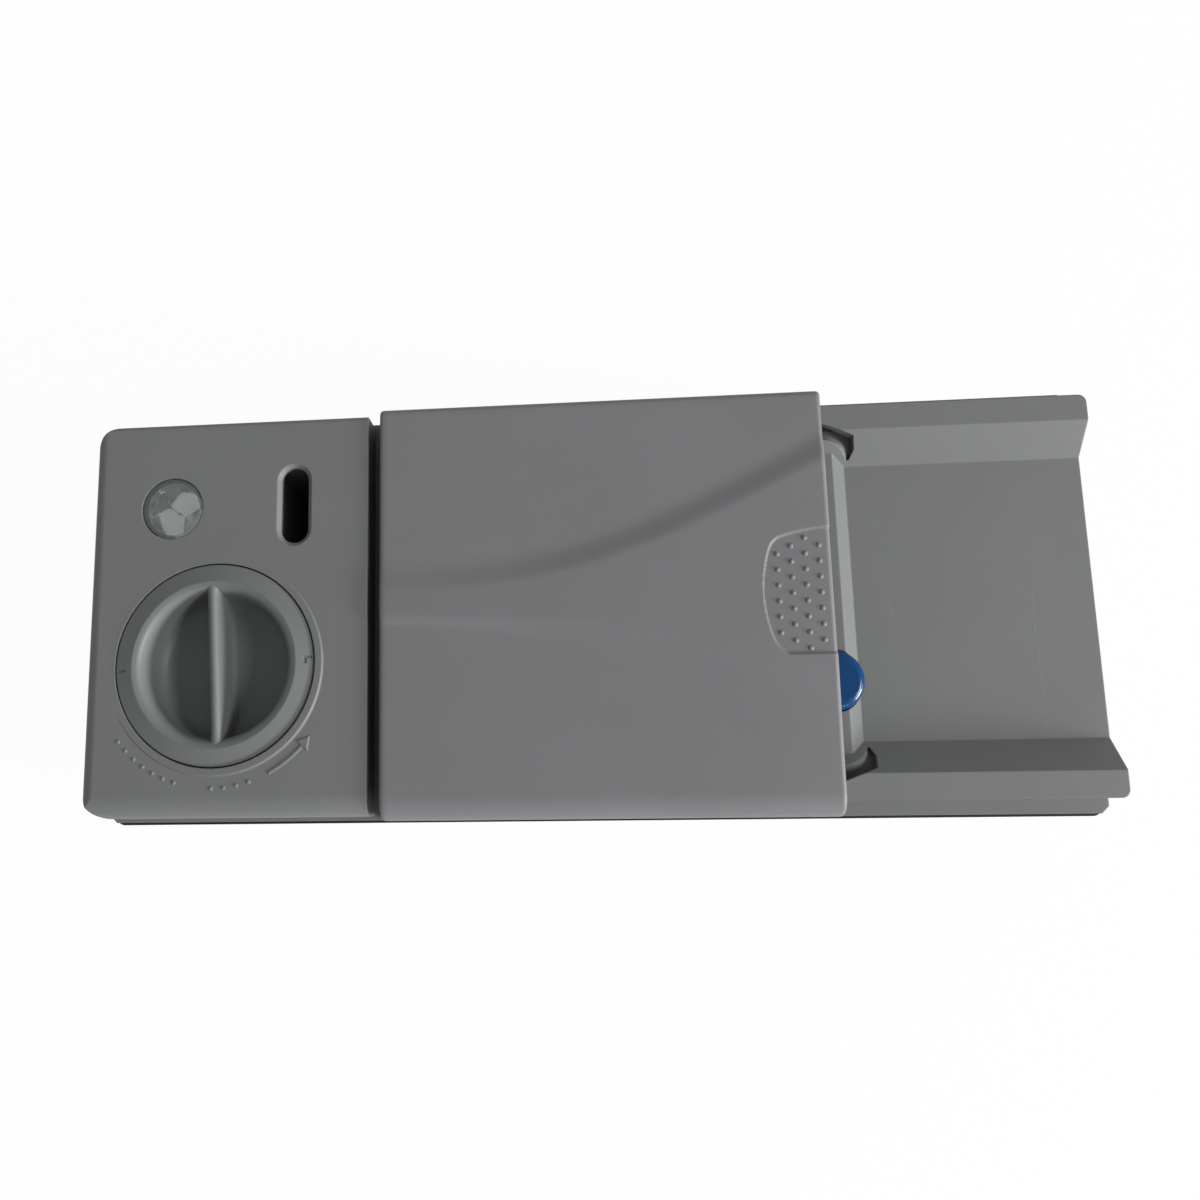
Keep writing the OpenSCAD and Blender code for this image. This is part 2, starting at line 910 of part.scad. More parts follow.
module lid_spring() {
    spring_r = 1.7;
    color(steel_grey)
        translate([runner_x0 + 5.4, 37.2, 30.4])
            rotate([0, 90, 0])
                coil_spring(spring_r, 0.35, 103.1 - runner_x0 - 5.4, 30, 10, 5);
}

// Release button: a domed head on a stem, pressed straight down
module release_button() {
    r = button_d / 2;
    edge_r = 1.8;
    top_z = front_z - 2.5;
    stem_r = 3;
    color([0.05, 0.25, 0.5])
        translate([button_x, button_y, 0])
            rotate_extrude($fn = 96)
                union() {
                    square_from(0, r, button_head_z0, top_z - edge_r);
                    square_from(0, r - edge_r, button_head_z0, top_z);
                    translate([r - edge_r, top_z - edge_r])
                        quarter_circle(edge_r);
                    square_from(0, stem_r, 33.4, button_head_z0 + 1);
                    translate([0, 33.4])
                        mirror([0, 1])
                            quarter_circle(stem_r);
                }
}

module square_from(ra, rb, za, zb) {
    translate([ra, za])
        square([rb - ra, zb - za]);
}

module quarter_circle(r) {
    intersection() {
        circle(r);
        square(r);
    }
}

module button_spring() {
    color(steel_grey)
        translate([button_x, button_y, button_floor_z + 0.05])
            coil_spring(4.3, 0.35, button_head_z0 - button_floor_z - 0.15, 3, 16, 6);
}

// Rocker: hub on the pin, latch hook, pad under the button and drive pin
module release_lever() {
    hub_y0 = -39.7;
    hub_y1 = 30.9;
    arm_z0 = 27;
    arm_z1 = 30;
    color([0.9, 0.9, 0.88])
        difference() {
            union() {
                rod_y(pivot_x, hub_y0, hub_y1, pivot_z, hub_r);
                block(button_x - 4.5, pivot_x, button_y - 5, button_y + 5, arm_z0, arm_z1);
                block(50, pivot_x, hub_y0, -34.2, arm_z0, arm_z1);
                along_y(hub_y0, -34.2)
                    polygon([[47, arm_z0], [51, arm_z0], [51, arm_z1], [49.6, 32.7], [47, 32.7]]);
                block(pivot_x - 3, pivot_x + 3, 23.2, 24.6, drive_z, pivot_z);
                rod_y(pivot_x, 23.2, 24.6, drive_z, 3);
                rod_y(pivot_x, 16.4, 30.2, drive_z, drive_pin_r);
                for (y = [button_y - 3.5, button_y + 2.5]) {
                    along_y(y, y + 1)
                        polygon([[button_x, arm_z0 + eps], [pivot_x, arm_z0 + eps],
                            [pivot_x, pivot_z - 4]]);
                }
            }
            rod_y(pivot_x, hub_y0 - 1, hub_y1 + 1, pivot_z, lever_pin_r + run_gap);
        }
}

module lever_pin() {
    color(steel_grey)
        rod_y(pivot_x, -bay_w / 2, 33.2, pivot_z, lever_pin_r);
}

// Actuator

module coil_bobbin() {
    bore_r = plunger_d / 2 + run_gap;
    color(white_plastic)
        difference() {
            union() {
                rod_x(coil_x0, coil_x1, coil_y, drive_z, spool_r);
                rod_x(coil_x0, coil_x0 + coil_flange_t, coil_y, drive_z, coil_flange_r);
                rod_x(coil_x1 - coil_flange_t, coil_x1, coil_y, drive_z, coil_flange_r);
                block(96.5, coil_x1, 3.2, 10.4, 2.5, 11.5);
            }
            rod_x(coil_x0 - 1, coil_x1 + 1, coil_y, drive_z, bore_r);
            for (z = [4, 9]) {
                block(97.6, 103.9, 3, 7, z, z + 0.8);
            }
        }
}

module coil_winding() {
    color([0.7, 0.36, 0.16])
        translate([coil_x0 + coil_flange_t, coil_y, drive_z])
            rotate([0, 90, 0])
                rotate_extrude()
                    translate([spool_r, 0])
                        square([4.1, coil_x1 - coil_x0 - 2 * coil_flange_t]);
}

module coil_yoke() {
    plate_y0 = coil_y - 9;
    plate_y1 = coil_y + 9;
    plate_z0 = 2;
    color(steel_grey)
        difference() {
            union() {
                block(yoke_x0, yoke_x1, 2, coil_y + 9, yoke_z1 - yoke_t, yoke_z1);
                block(yoke_x0, yoke_x0 + yoke_t, plate_y0, plate_y1, plate_z0, yoke_z1);
                block(yoke_x1 - yoke_t, yoke_x1, plate_y0, plate_y1, plate_z0, yoke_z1);
                rod_x(99.5, yoke_x1 - 0.5, coil_y, drive_z, plunger_d / 2);
            }
            rod_x(yoke_x0 - 1, yoke_x0 + yoke_t + 1, coil_y, drive_z, plunger_d / 2 + 0.6);
            for (x = screw_xs) {
                post(x, screw_y, yoke_z1 - 3, yoke_z1 + 1, 1.6);
            }
        }
}

module coil_screws() {
    head_z1 = yoke_z1 - yoke_t;
    color(steel_grey)
        for (x = screw_xs) {
            difference() {
                union() {
                    post(x, screw_y, head_z1 - 1.8, head_z1, 2.7);
                    post(x, screw_y, head_z1 - 0.1, 33, 1.05);
                }
                for (a = [0, 90]) {
                    translate([x, screw_y, head_z1 - 1.8])
                        rotate([0, 0, a])
                            cube([3, 0.7, 1.8], center = true);
                }
            }
        }
}

module terminal_tabs() {
    color(steel_grey)
        for (z = [4, 9]) {
            difference() {
                block(97.6, 103.9, -4.5, 7, z, z + 0.8);
                post(100.75, -1.6, z - 1, z + 2, 0.85);
            }
        }
}

module plunger() {
    head_x0 = pivot_x - 3.5;
    head_x1 = pivot_x + 3.5;
    slot_half = drive_pin_r + slide_gap;
    color(steel_grey)
        difference() {
            union() {
                rod_x(head_x1 - eps, 96, coil_y, drive_z, plunger_d / 2);
                block(head_x0, head_x1, coil_y - 3, coil_y + 2.8, drive_z - 4, drive_z + 4);
            }
            block(pivot_x - slot_half, pivot_x + slot_half, coil_y - 5, coil_y + 5,
                drive_z - slot_half, drive_z + slot_half + 0.3);
        }
}

module plunger_spring() {
    color(steel_grey)
        translate([pivot_x + 3.55, coil_y, drive_z])
            rotate([0, 90, 0])
                coil_spring(4.6, 0.35, yoke_x0 - pivot_x - 3.6, 3, 16, 6);
}

// Rinse-aid dosing

module dosing_rod() {
    eye_r = drive_pin_r + slide_gap;
    color(steel_grey)
        difference() {
            union() {
                rod_x(-66.5, pivot_x - 3, rod_y, drive_z, rod_r);
                rod_y(pivot_x, 25.2, 28.8, drive_z, eye_r + 1.6);
            }
            rod_y(pivot_x, 24, 30, drive_z, eye_r);
        }
}

module dosing_valve() {
    seat_x = duct_x0 + duct_wall;
    color(rubber_black)
        translate([seat_x, rod_y, drive_z])
            rotate([0, 90, 0])
                rotate_extrude($fn = 48)
                    polygon([[0, 0], [5, 0], [5, 1.6], [4, 2.4], [3, 4], [0, 4]]);
}

module valve_spring() {
    color(steel_grey)
        translate([-66.4, rod_y, drive_z])
            rotate([0, 90, 0])
                coil_spring(2.7, 0.3, duct_x1 - duct_wall + 66.3, 6, 14, 6);
}

// Rinse-aid cap: a bowl with a drafted grip bar across it, and two bayonet lugs

module rinse_cap() {
    foot_z = 33;
    tick_r = 21.9;
    tick_z = cap_top - 0.5;
    color([0.44, 0.45, 0.45])
        translate([cap_x, cap_y, 0])
            rotate([0, 0, cap_turn])
                union() {
                    difference() {
                        rotate_extrude($fn = 96)
                            cap_section(foot_z);
                        for (s = [-1, 1]) {
                            translate([s * tick_r, 0, tick_z])
                                cube([2.6, 0.5, 0.8], center = true);
                        }
                        translate([tick_r - 1.05, -0.6, tick_z])
                            cube([0.5, 1.2, 0.8], center = true);
                    }
                    grip_bar();
                    for (a = [0, 180]) {
                        rotate([0, 0, a])
                            intersection() {
                                translate([0, 0, foot_z])
                                    cylinder(h = 2, r = tube_r - 0.4);
                                translate([cap_body_r - 1, -4, foot_z])
                                    cube([5, 8, 2]);
                            }
                    }
                }
}

function arc_points(centre, r, start, stop, steps) = [
    for (i = [0:steps])
        let (a = start + (stop - start) * i / steps)
        centre + r * [cos(a), sin(a)]
];

// Half section of the cap: ring falling outwards, round rim, bowl and the skirt below it
module cap_section(foot_z) {
    r = cap_d / 2;
    ring_fall = 0.8;
    rim_r = 1.6;
    rim_x = 21.2;
    wall_r = 18.6;
    bend_r = 4.5;
    polygon(concat(
        [
            [0, bowl_z - wall],
            [cap_body_r - 1.6, bowl_z - wall],
            [cap_body_r - 1.6, foot_z],
            [cap_body_r, foot_z],
            [cap_body_r, flange_z1 + 0.3],
            [21.6, flange_z1 + 0.3],
            [21.6, 41.5],
            [20.9, 41.5],
            [20.9, 43.9],
            [21.6, 43.9],
            [21.6, front_z - cap_flange_h],
            [r, front_z - cap_flange_h],
            [r, cap_top - ring_fall - 0.3],
            [r - 0.3, cap_top - ring_fall]
        ],
        arc_points([rim_x, cap_top - rim_r], rim_r, 90, 180, 5),
        arc_points([wall_r - bend_r, bowl_z + bend_r], bend_r, 0, -90, 6),
        [[0, bowl_z]]
    ));
}

// The bar's section: narrow and round at the top, wider towards the bowl's floor
module grip_bar() {
    foot_w = 6.4;
    bar_foot_z = bowl_z - 0.5;
    crest_z = cap_top - 0.3 - grip_w / 2;
    intersection() {
        union() {
            along_y(-25, 25)
                union() {
                    polygon([
                        [-foot_w / 2, bar_foot_z],
                        [-grip_w / 2, crest_z],
                        [grip_w / 2, crest_z],
                        [foot_w / 2, bar_foot_z]
                    ]);
                    translate([0, crest_z])
                        circle(grip_w / 2);
                }
            for (a = [0, 180]) {
                rotate([0, 0, a])
                    translate([0, 0, bar_foot_z])
                        linear_extrude(crest_z - 0.3 - bar_foot_z)
                            bar_end_area();
            }
        }
        rotate_extrude($fn = 96)
            polygon([
                [0, bar_foot_z],
                [17.2, bar_foot_z],
                [19.6, 41],
                [20.8, 44.5],
                [20.8, cap_top],
                [0, cap_top]
            ]);
    }
}

// Where the bar meets the ring it widens in a hollow curve
module bar_end_area() {
    flare_r = 2.2;
    end_y = 19.4;
    half = grip_w / 2 - 0.1 + flare_r;
    difference() {
        translate([-half, end_y - flare_r])
            square([2 * half, flare_r + 2]);
        for (s = [-1, 1]) {
            translate([s * half, end_y - flare_r])
                circle(flare_r);
        }
    }
}

module cap_seal() {
    color(rubber_black)
        translate([cap_x, cap_y, 42.7])
            rotate_extrude($fn = 96)
                translate([21.7, 0])
                    circle(0.75);
}

// Dose selector: a disc with a pointer on a spindle, turned with a screwdriver slot
module dose_selector() {
    disc_z0 = 29.8;
    disc_z1 = 31.6;
    color([0.2, 0.35, 0.6])
        translate([cap_x, cap_y, 0])
            difference() {
                union() {
                    post(0, 0, disc_z0, disc_z1, 7);
                    post(0, 0, 25.5, disc_z0 + 0.1, 2);
                    post(0, 0, disc_z1 - 0.1, 32.5, 3.4);
                    post(0, 0, 25.5, 26.6, 3);
                }
                translate([-4, -0.6, 31.8])
                    cube([8, 1.2, 2]);
                translate([4.6, -0.5, 31.1])
                    cube([3, 1, 2]);
            }
}

// Level window: a flush lens with a prism below it
module level_window() {
    color([0.85, 0.9, 0.92, 0.6])
        translate([window_x, window_y, 0])
            union() {
                post(0, 0, front_z - 1.8, front_z - 0.05, window_d / 2);
                translate([0, 0, 39.5])
                    cylinder(h = front_z - 1.7 - 39.5, r1 = 0.6, r2 = window_d / 2 - 1.1);
            }
}

// Rinse-aid tank, open towards the housing that closes it
module reservoir_shell() {
    half = tank_w / 2;
    edge_r = 3;
    color(white_plastic)
        difference() {
            union() {
                difference() {
                    tank_form(tank_x0, tank_x1, half, 6, 0, edge_r, flange_z0);
                    tank_form(tank_x0 + wall, tank_x1 - wall, half - wall, 4, wall, edge_r - 1,
                        flange_z0 + 20);
                }
                block(-105.5, -86.5, 22.5, 35.5, 0.5, 6.5);
                for (x = [-107, -89.4]) {
                    block(x, x + 2, 6, 36, 1, 11);
                }
            }
            block(-104, -88, 24, 34, -1, 5);
            rod_x(tank_x1 - 3, tank_x1 + 1, rod_y, drive_z, 2.6);
        }
}

// A tub with rounded upright corners and rounded bottom edges
module tank_form(xa, xb, half, corner_r, bottom_z, edge_r, top_z) {
    intersection() {
        rounded_block(xa, xb, -half, half, corner_r, bottom_z, top_z);
        along_y(-half, half)
            rounded_area(xa, xb, bottom_z, top_z + 10, edge_r);
        along_x(xa, xb)
            rounded_area(-half, half, bottom_z, top_z + 10, edge_r);
    }
}

module level_float() {
    color([0.85, 0.5, 0.2])
        difference() {
            rounded_block(-104.5, -90, 7.5, 20.5, 2, 7.5, 21);
            post(-97.25, 14, 7, 12.6, 2.6);
        }
}

module float_magnet() {
    color([0.3, 0.3, 0.32])
        post(-97.25, 14, 7.6, 12.5, 2.5);
}

module reed_switch() {
    glass_z = 2.6;
    color([0.75, 0.8, 0.75]) {
        rod_x(-103, -89, 29, glass_z, 1.5);
        for (x = [-103.6, -89.4]) {
            block(x, x + 1, 26.5, 31.5, 0.6, 4.6);
        }
    }
}

// The gasket's edge stands out a little past the flange
module door_gasket() {
    outer = flange_w / 2 + 0.6;
    inner = 44.2;
    color(rubber_black)
        difference() {
            rounded_block(flange_x0 + 0.4, flange_x1 - 0.4, -outer, outer, 2.4, flange_z0 - gasket_t,
                flange_z0);
            rounded_block(tank_x0 - 0.4, bay_x1 + 1.5, -inner, inner, 3, flange_z0 - gasket_t - 1,
                flange_z0 + 1);
        }
}

front_housing();
sliding_lid();
lid_carrier();
spring_runner();
latch_runner();
cup_seal();
lid_spring();
release_button();
button_spring();
release_lever();
lever_pin();
coil_bobbin();
coil_winding();
coil_yoke();
coil_screws();
terminal_tabs();
plunger();
plunger_spring();
dosing_rod();
dosing_valve();
valve_spring();
rinse_cap();
cap_seal();
dose_selector();
level_window();
reservoir_shell();
level_float();
float_magnet();
reed_switch();
door_gasket();
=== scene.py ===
# %% [markdown]
# # A dishwasher detergent dispenser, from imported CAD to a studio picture
#
# The dispenser lies on its back, as it does when the dishwasher's door is open.
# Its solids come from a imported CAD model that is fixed: they are never moved or reshaped here.
# Each step below gives one part of the look: a finish, a soft form that CAD draws plainly, or
# something that repeats, such as the bumps of the finger pad or the turns of a spring.
#
# The frame is loaded first, because every piece is placed by it. Its lengths are in metres, so
# MM turns millimetres into them.

# %% Load the frame
import json
import math

import bmesh
import bpy
import numpy as np
from mathutils import Matrix


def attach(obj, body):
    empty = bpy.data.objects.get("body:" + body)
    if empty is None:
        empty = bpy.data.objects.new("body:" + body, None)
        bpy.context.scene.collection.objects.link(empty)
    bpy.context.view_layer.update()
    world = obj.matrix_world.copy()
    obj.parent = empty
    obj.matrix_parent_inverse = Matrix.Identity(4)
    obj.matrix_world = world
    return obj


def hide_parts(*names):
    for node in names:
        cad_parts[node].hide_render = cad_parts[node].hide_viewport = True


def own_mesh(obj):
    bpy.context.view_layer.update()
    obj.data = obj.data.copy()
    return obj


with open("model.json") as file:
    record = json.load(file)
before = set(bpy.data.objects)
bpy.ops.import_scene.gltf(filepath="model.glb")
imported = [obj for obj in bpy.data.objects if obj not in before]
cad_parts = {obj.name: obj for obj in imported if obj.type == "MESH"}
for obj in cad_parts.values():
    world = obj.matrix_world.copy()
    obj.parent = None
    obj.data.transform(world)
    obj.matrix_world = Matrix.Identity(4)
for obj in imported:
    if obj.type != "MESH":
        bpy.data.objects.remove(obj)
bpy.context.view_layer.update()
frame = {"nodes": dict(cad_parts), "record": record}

MM = 0.001
nodes = frame["nodes"]

# %% [markdown]
# ## Camera
#
# The picture was taken from nearly straight above, at arm's length, with the lens over the
# lid's lower edge. The place and the three directions below were solved from corners of the
# panel, lid and tray, so that the perspective of the long edges agrees. A small sideways shift
# stands for the crop of the picture.

# %% Camera
CAMERA_PLACE = (0.001078, -0.040187, 0.290219)
CAMERA_RIGHT = (0.99526, -0.01269, -0.09637)
CAMERA_UP = (0.02877, 0.98548, 0.16736)
CAMERA_BACK = (0.09285, -0.16934, 0.98117)
SENSOR_MM = 36.0
# Focal length as a share of the picture's width, and the crop's shift as another
FOCAL_SHARE = 1071.2 / 1200
SHIFT_SHARE = 0.10

camera_data = bpy.data.cameras.new("studio_camera")
camera_data.sensor_width = SENSOR_MM
camera_data.lens = FOCAL_SHARE * SENSOR_MM
camera_data.shift_x = SHIFT_SHARE
camera_data.clip_start = 0.01
camera_data.clip_end = 20
camera = bpy.data.objects.new("studio_camera", camera_data)
turn = Matrix((CAMERA_RIGHT, CAMERA_UP, CAMERA_BACK)).transposed()
camera.matrix_world = Matrix.Translation(CAMERA_PLACE) @ turn.to_4x4()
bpy.context.scene.collection.objects.link(camera)
bpy.context.scene.camera = camera
bpy.context.scene.view_settings.view_transform = "Standard"
print("lens in mm:", round(camera_data.lens, 1))

# %% [markdown]
# ## Colours and nodes
#
# Colours are written as the eye sees them on a screen, in sRGB hex, and one function turns them
# into the linear values that a renderer adds and multiplies. Every node tree, of a material or
# of geometry, is put together with one small function that adds a node, sets it and links it.


# %% Colour and node helpers
def linear(hex_colour):
    """An sRGB colour such as "7A7C7B" as linear red, green, blue and alpha."""
    shares = [int(hex_colour[i : i + 2], 16) / 255 for i in (0, 2, 4)]
    return [s / 12.92 if s <= 0.04045 else ((s + 0.055) / 1.055) ** 2.4 for s in shares] + [1.0]


def add(tree, kind, inputs=None, **settings):
    """Adds a node. inputs gives each socket a value, or a (node, output) pair to link from."""
    made = tree.nodes.new(kind)
    for name, value in settings.items():
        setattr(made, name, value)
    for key, value in (inputs or {}).items():
        linked = isinstance(value, tuple) and isinstance(value[0], bpy.types.Node)
        if linked:
            tree.links.new(value[0].outputs[value[1]], made.inputs[key])
        else:
            made.inputs[key].default_value = value
    return made


def new_material(name):
    """An empty node material with its output."""
    material = bpy.data.materials.new(name)
    material.use_nodes = True
    material.node_tree.nodes.clear()
    return material, material.node_tree


# %% [markdown]
# ## Studio
#
# The dispenser stands out on a white ground with hardly a shadow. The floor is a pale plane.
# Rays from the camera see it and the world as white, while the light on the dispenser itself
# stays at a plain level. A share of the floor's own shading is kept, so that the part's shadow
# still grounds it. The patch hidden under the tray isn't lit up, so that it looks dark through
# the slots.

# %% Floor
# Share of the floor's own shading that the camera sees
FLOOR_SHADING = 0.04
# The dark patch's middle along the length, and its half length and half width, in millimetres
PATCH_X, PATCH_HALF_LENGTH, PATCH_HALF_WIDTH = 34, 74, 40
FLOOR_HALF = 3.0
# The floor lies a little lower than the part's lowest faces, so that they don't share a plane
FLOOR_GAP_MM = 0.3

floor_material, tree = new_material("pale studio floor")
path = add(tree, "ShaderNodeLightPath")
paint = add(tree, "ShaderNodeBsdfDiffuse", {"Color": linear("F2F2F2")})
white = add(tree, "ShaderNodeEmission", {"Color": linear("FFFFFF"), "Strength": 1.0})
seen = add(
    tree,
    "ShaderNodeMath",
    {0: (path, "Is Camera Ray"), 1: (path, "Is Glossy Ray")},
    operation="MAXIMUM",
)
place = add(tree, "ShaderNodeTexCoord")
in_patch = add(
    tree,
    "ShaderNodeVectorMath",
    {
        0: (place, "Object"),
        1: (1 / (PATCH_HALF_LENGTH * MM), 1 / (PATCH_HALF_WIDTH * MM), 1.0),
        2: (-PATCH_X / PATCH_HALF_LENGTH, 0, 0),
    },
    operation="MULTIPLY_ADD",
)
reach = add(tree, "ShaderNodeVectorMath", {0: (in_patch, 0)}, operation="ABSOLUTE")
sides = add(tree, "ShaderNodeSeparateXYZ", {0: (reach, 0)})
farther = add(tree, "ShaderNodeMath", {0: (sides, 0), 1: (sides, 1)}, operation="MAXIMUM")
open_floor = add(tree, "ShaderNodeMath", {0: (farther, 0), 1: 1.0}, operation="GREATER_THAN")
lit = add(tree, "ShaderNodeMath", {0: (seen, 0), 1: (open_floor, 0)}, operation="MULTIPLY")
share = add(tree, "ShaderNodeMath", {0: (lit, 0), 1: 1 - FLOOR_SHADING}, operation="MULTIPLY")
mixed = add(tree, "ShaderNodeMixShader", {0: (share, 0), 1: (paint, 0), 2: (white, 0)})
add(tree, "ShaderNodeOutputMaterial", {"Surface": (mixed, 0)})

floor_mesh = bpy.data.meshes.new("studio_floor")
floor_corners = [(x * FLOOR_HALF, y * FLOOR_HALF, 0) for x, y in ((-1, -1), (1, -1), (1, 1), (-1, 1))]
floor_mesh.from_pydata(floor_corners, [], [(0, 1, 2, 3)])
floor_mesh.materials.append(floor_material)
floor = bpy.data.objects.new("studio_floor", floor_mesh)
floor.location.z = -FLOOR_GAP_MM * MM
bpy.context.scene.collection.objects.link(floor)
print("floor made, metres across:", 2 * FLOOR_HALF)

# %% World
# Even light from all round, as a share of white
AMBIENT = 0.345

world = bpy.data.worlds.new("studio_world")
bpy.context.scene.world = world
world.use_nodes = True
tree = world.node_tree
tree.nodes.clear()
path = add(tree, "ShaderNodeLightPath")
level = add(
    tree,
    "ShaderNodeMapRange",
    {"Value": (path, "Is Camera Ray"), "To Min": AMBIENT, "To Max": 1.0},
)
sky = add(tree, "ShaderNodeBackground", {"Color": linear("FFFFFF"), "Strength": (level, 0)})
add(tree, "ShaderNodeOutputWorld", {"Surface": (sky, 0)})
print("world made, even light:", AMBIENT)

# %% [markdown]
# ## Lamps
#
# The main soft box stands low at the right. Faces that slope its way are bright, those that look
# away are dark, and recesses such as the cap's bowl stay in shade. A second one, higher on the
# same side, fills the flat tops, and a weak one in front keeps the near flanks from going black.
# They stand far off, so that the tray at the right is only a little brighter than the panel at
# the left. The rest is even light from all round.


# %% Lamps
def soft_box(name, place, aim, width, height, watts):
    """A rectangular area lamp at a place, turned to look at a point."""
    data = bpy.data.lights.new(name, "AREA")
    data.shape = "RECTANGLE"
    data.size, data.size_y = width, height
    data.energy = watts
    lamp = bpy.data.objects.new(name, data)
    away = np.array(place) - np.array(aim)
    away = away / np.linalg.norm(away)
    side = np.cross((0, 0, 1), away)
    side = side / np.linalg.norm(side)
    lamp.matrix_world = Matrix((side, np.cross(away, side), away)).transposed().to_4x4()
    lamp.location = place
    bpy.context.scene.collection.objects.link(lamp)
    return lamp


SUBJECT = (0, 0, 0.045)
LAMP_DISTANCE, LAMP_WIDTH, LAMP_HEIGHT = 2.0, 0.70, 0.37
# Name, direction round the part and height above the floor in degrees, and power in watts
lamps = (
    ("low_soft_box", -21, 13, 43.0),
    ("high_soft_box", -12, 38, 20.5),
    ("front_soft_box", -60, 20, 5.0),
)
for name, azimuth_deg, height_deg, watts in lamps:
    azimuth, lift = math.radians(azimuth_deg), math.radians(height_deg)
    across = LAMP_DISTANCE * math.cos(lift)
    place = (across * math.cos(azimuth), across * math.sin(azimuth), LAMP_DISTANCE * math.sin(lift))
    soft_box(name, place, SUBJECT, LAMP_WIDTH, LAMP_HEIGHT, watts)
print("lamps:", len(lamps))

# %% [markdown]
# ## Scratches
#
# Some thin pale scratches across the tray's floor are wear from use. They could be painted on a
# picture, but a mask worked out from the place on the part needs none: it is 1 near a line
# between two points. Noise lets the line wander and breaks it up, as a real rub mark is.

# %% Scratches
# Where scratches on the tray floor start and end, in millimetres
TRAY_SCRATCHES = (
    ((71.4, 0.3), (71.6, -5.5)),
    ((72.2, -0.7), (72.2, -6.4)),
    ((102.8, 1.0), (102.6, -9.9)),
    ((103.0, -12.0), (102.9, -28.7)),
)
# A scratch's width, how far it wanders, and the length of its breaks, in millimetres
SCRATCH_MM, WANDER_MM, BREAK_MM = 0.22, 0.6, 1.8
# The noise level above which a scratch shows, and how much paler it is
SCRATCH_FROM, SCRATCH_PALER = 0.47, 0.16


def scratch_mask(tree, place, start, end):
    """1 on a thin broken line between two points of the part, 0 elsewhere."""
    start, end = np.array(start) * MM, np.array(end) * MM
    length = np.linalg.norm(end - start)
    along = (end - start) / length
    offset = add(
        tree,
        "ShaderNodeVectorMath",
        {0: (place, "Object"), 1: (*start, 0)},
        operation="SUBTRACT",
    )
    run = add(
        tree,
        "ShaderNodeVectorMath",
        {0: (offset, 0), 1: (*along, 0)},
        operation="DOT_PRODUCT",
    )
    off = add(
        tree,
        "ShaderNodeVectorMath",
        {0: (offset, 0), 1: (-along[1], along[0], 0)},
        operation="DOT_PRODUCT",
    )
    broken = add(
        tree,
        "ShaderNodeTexNoise",
        {"Vector": (place, "Object"), "Scale": 1 / (BREAK_MM * MM), "Detail": 1.0},
    )
    wander = add(
        tree,
        "ShaderNodeMath",
        {0: (broken, 0), 1: WANDER_MM * MM, 2: (off, 1)},
        operation="MULTIPLY_ADD",
    )
    near = add(
        tree,
        "ShaderNodeMath",
        {0: (wander, 0), 1: WANDER_MM * MM / 2, 2: SCRATCH_MM * MM / 2},
        operation="COMPARE",
    )
    middle = add(
        tree,
        "ShaderNodeMath",
        {0: (run, 1), 1: length / 2, 2: length / 2},
        operation="COMPARE",
    )
    both = add(tree, "ShaderNodeMath", {0: (near, 0), 1: (middle, 0)}, operation="MULTIPLY")
    kept = add(tree, "ShaderNodeMath", {0: (broken, 0), 1: SCRATCH_FROM}, operation="GREATER_THAN")
    return add(tree, "ShaderNodeMath", {0: (both, 0), 1: (kept, 0)}, operation="MULTIPLY")


print("scratches:", len(TRAY_SCRATCHES))

# %% [markdown]
# ## Moulded plastic
#
# The front, lid and cap are ABS, moulded against steel whose face was spark-eroded to a fine
# grain. To the eye that gives a dull, even grey with a soft broad shine and a barely seen
# texture. The grain is really about 0.1 mm wide; it is drawn at about 0.25 mm so that it shows.
# Slow cloudiness over some centimetres keeps large faces from looking painted. The same recipe
# with other numbers gives the acetal, polypropylene, rubber and ferrite of the other pieces,
# with their even finer grain drawn 0.2 to 0.5 mm wide.

# %% Moulded plastic
# Nearly all values of a noise texture lie between these two
NOISE_LOW, NOISE_HIGH = 0.3, 0.7
# Width of the slow clouds in millimetres, and how far the grain changes colour and roughness
CLOUD_MM, SPECK, ROUGH_SPREAD = 30, 0.03, 0.04


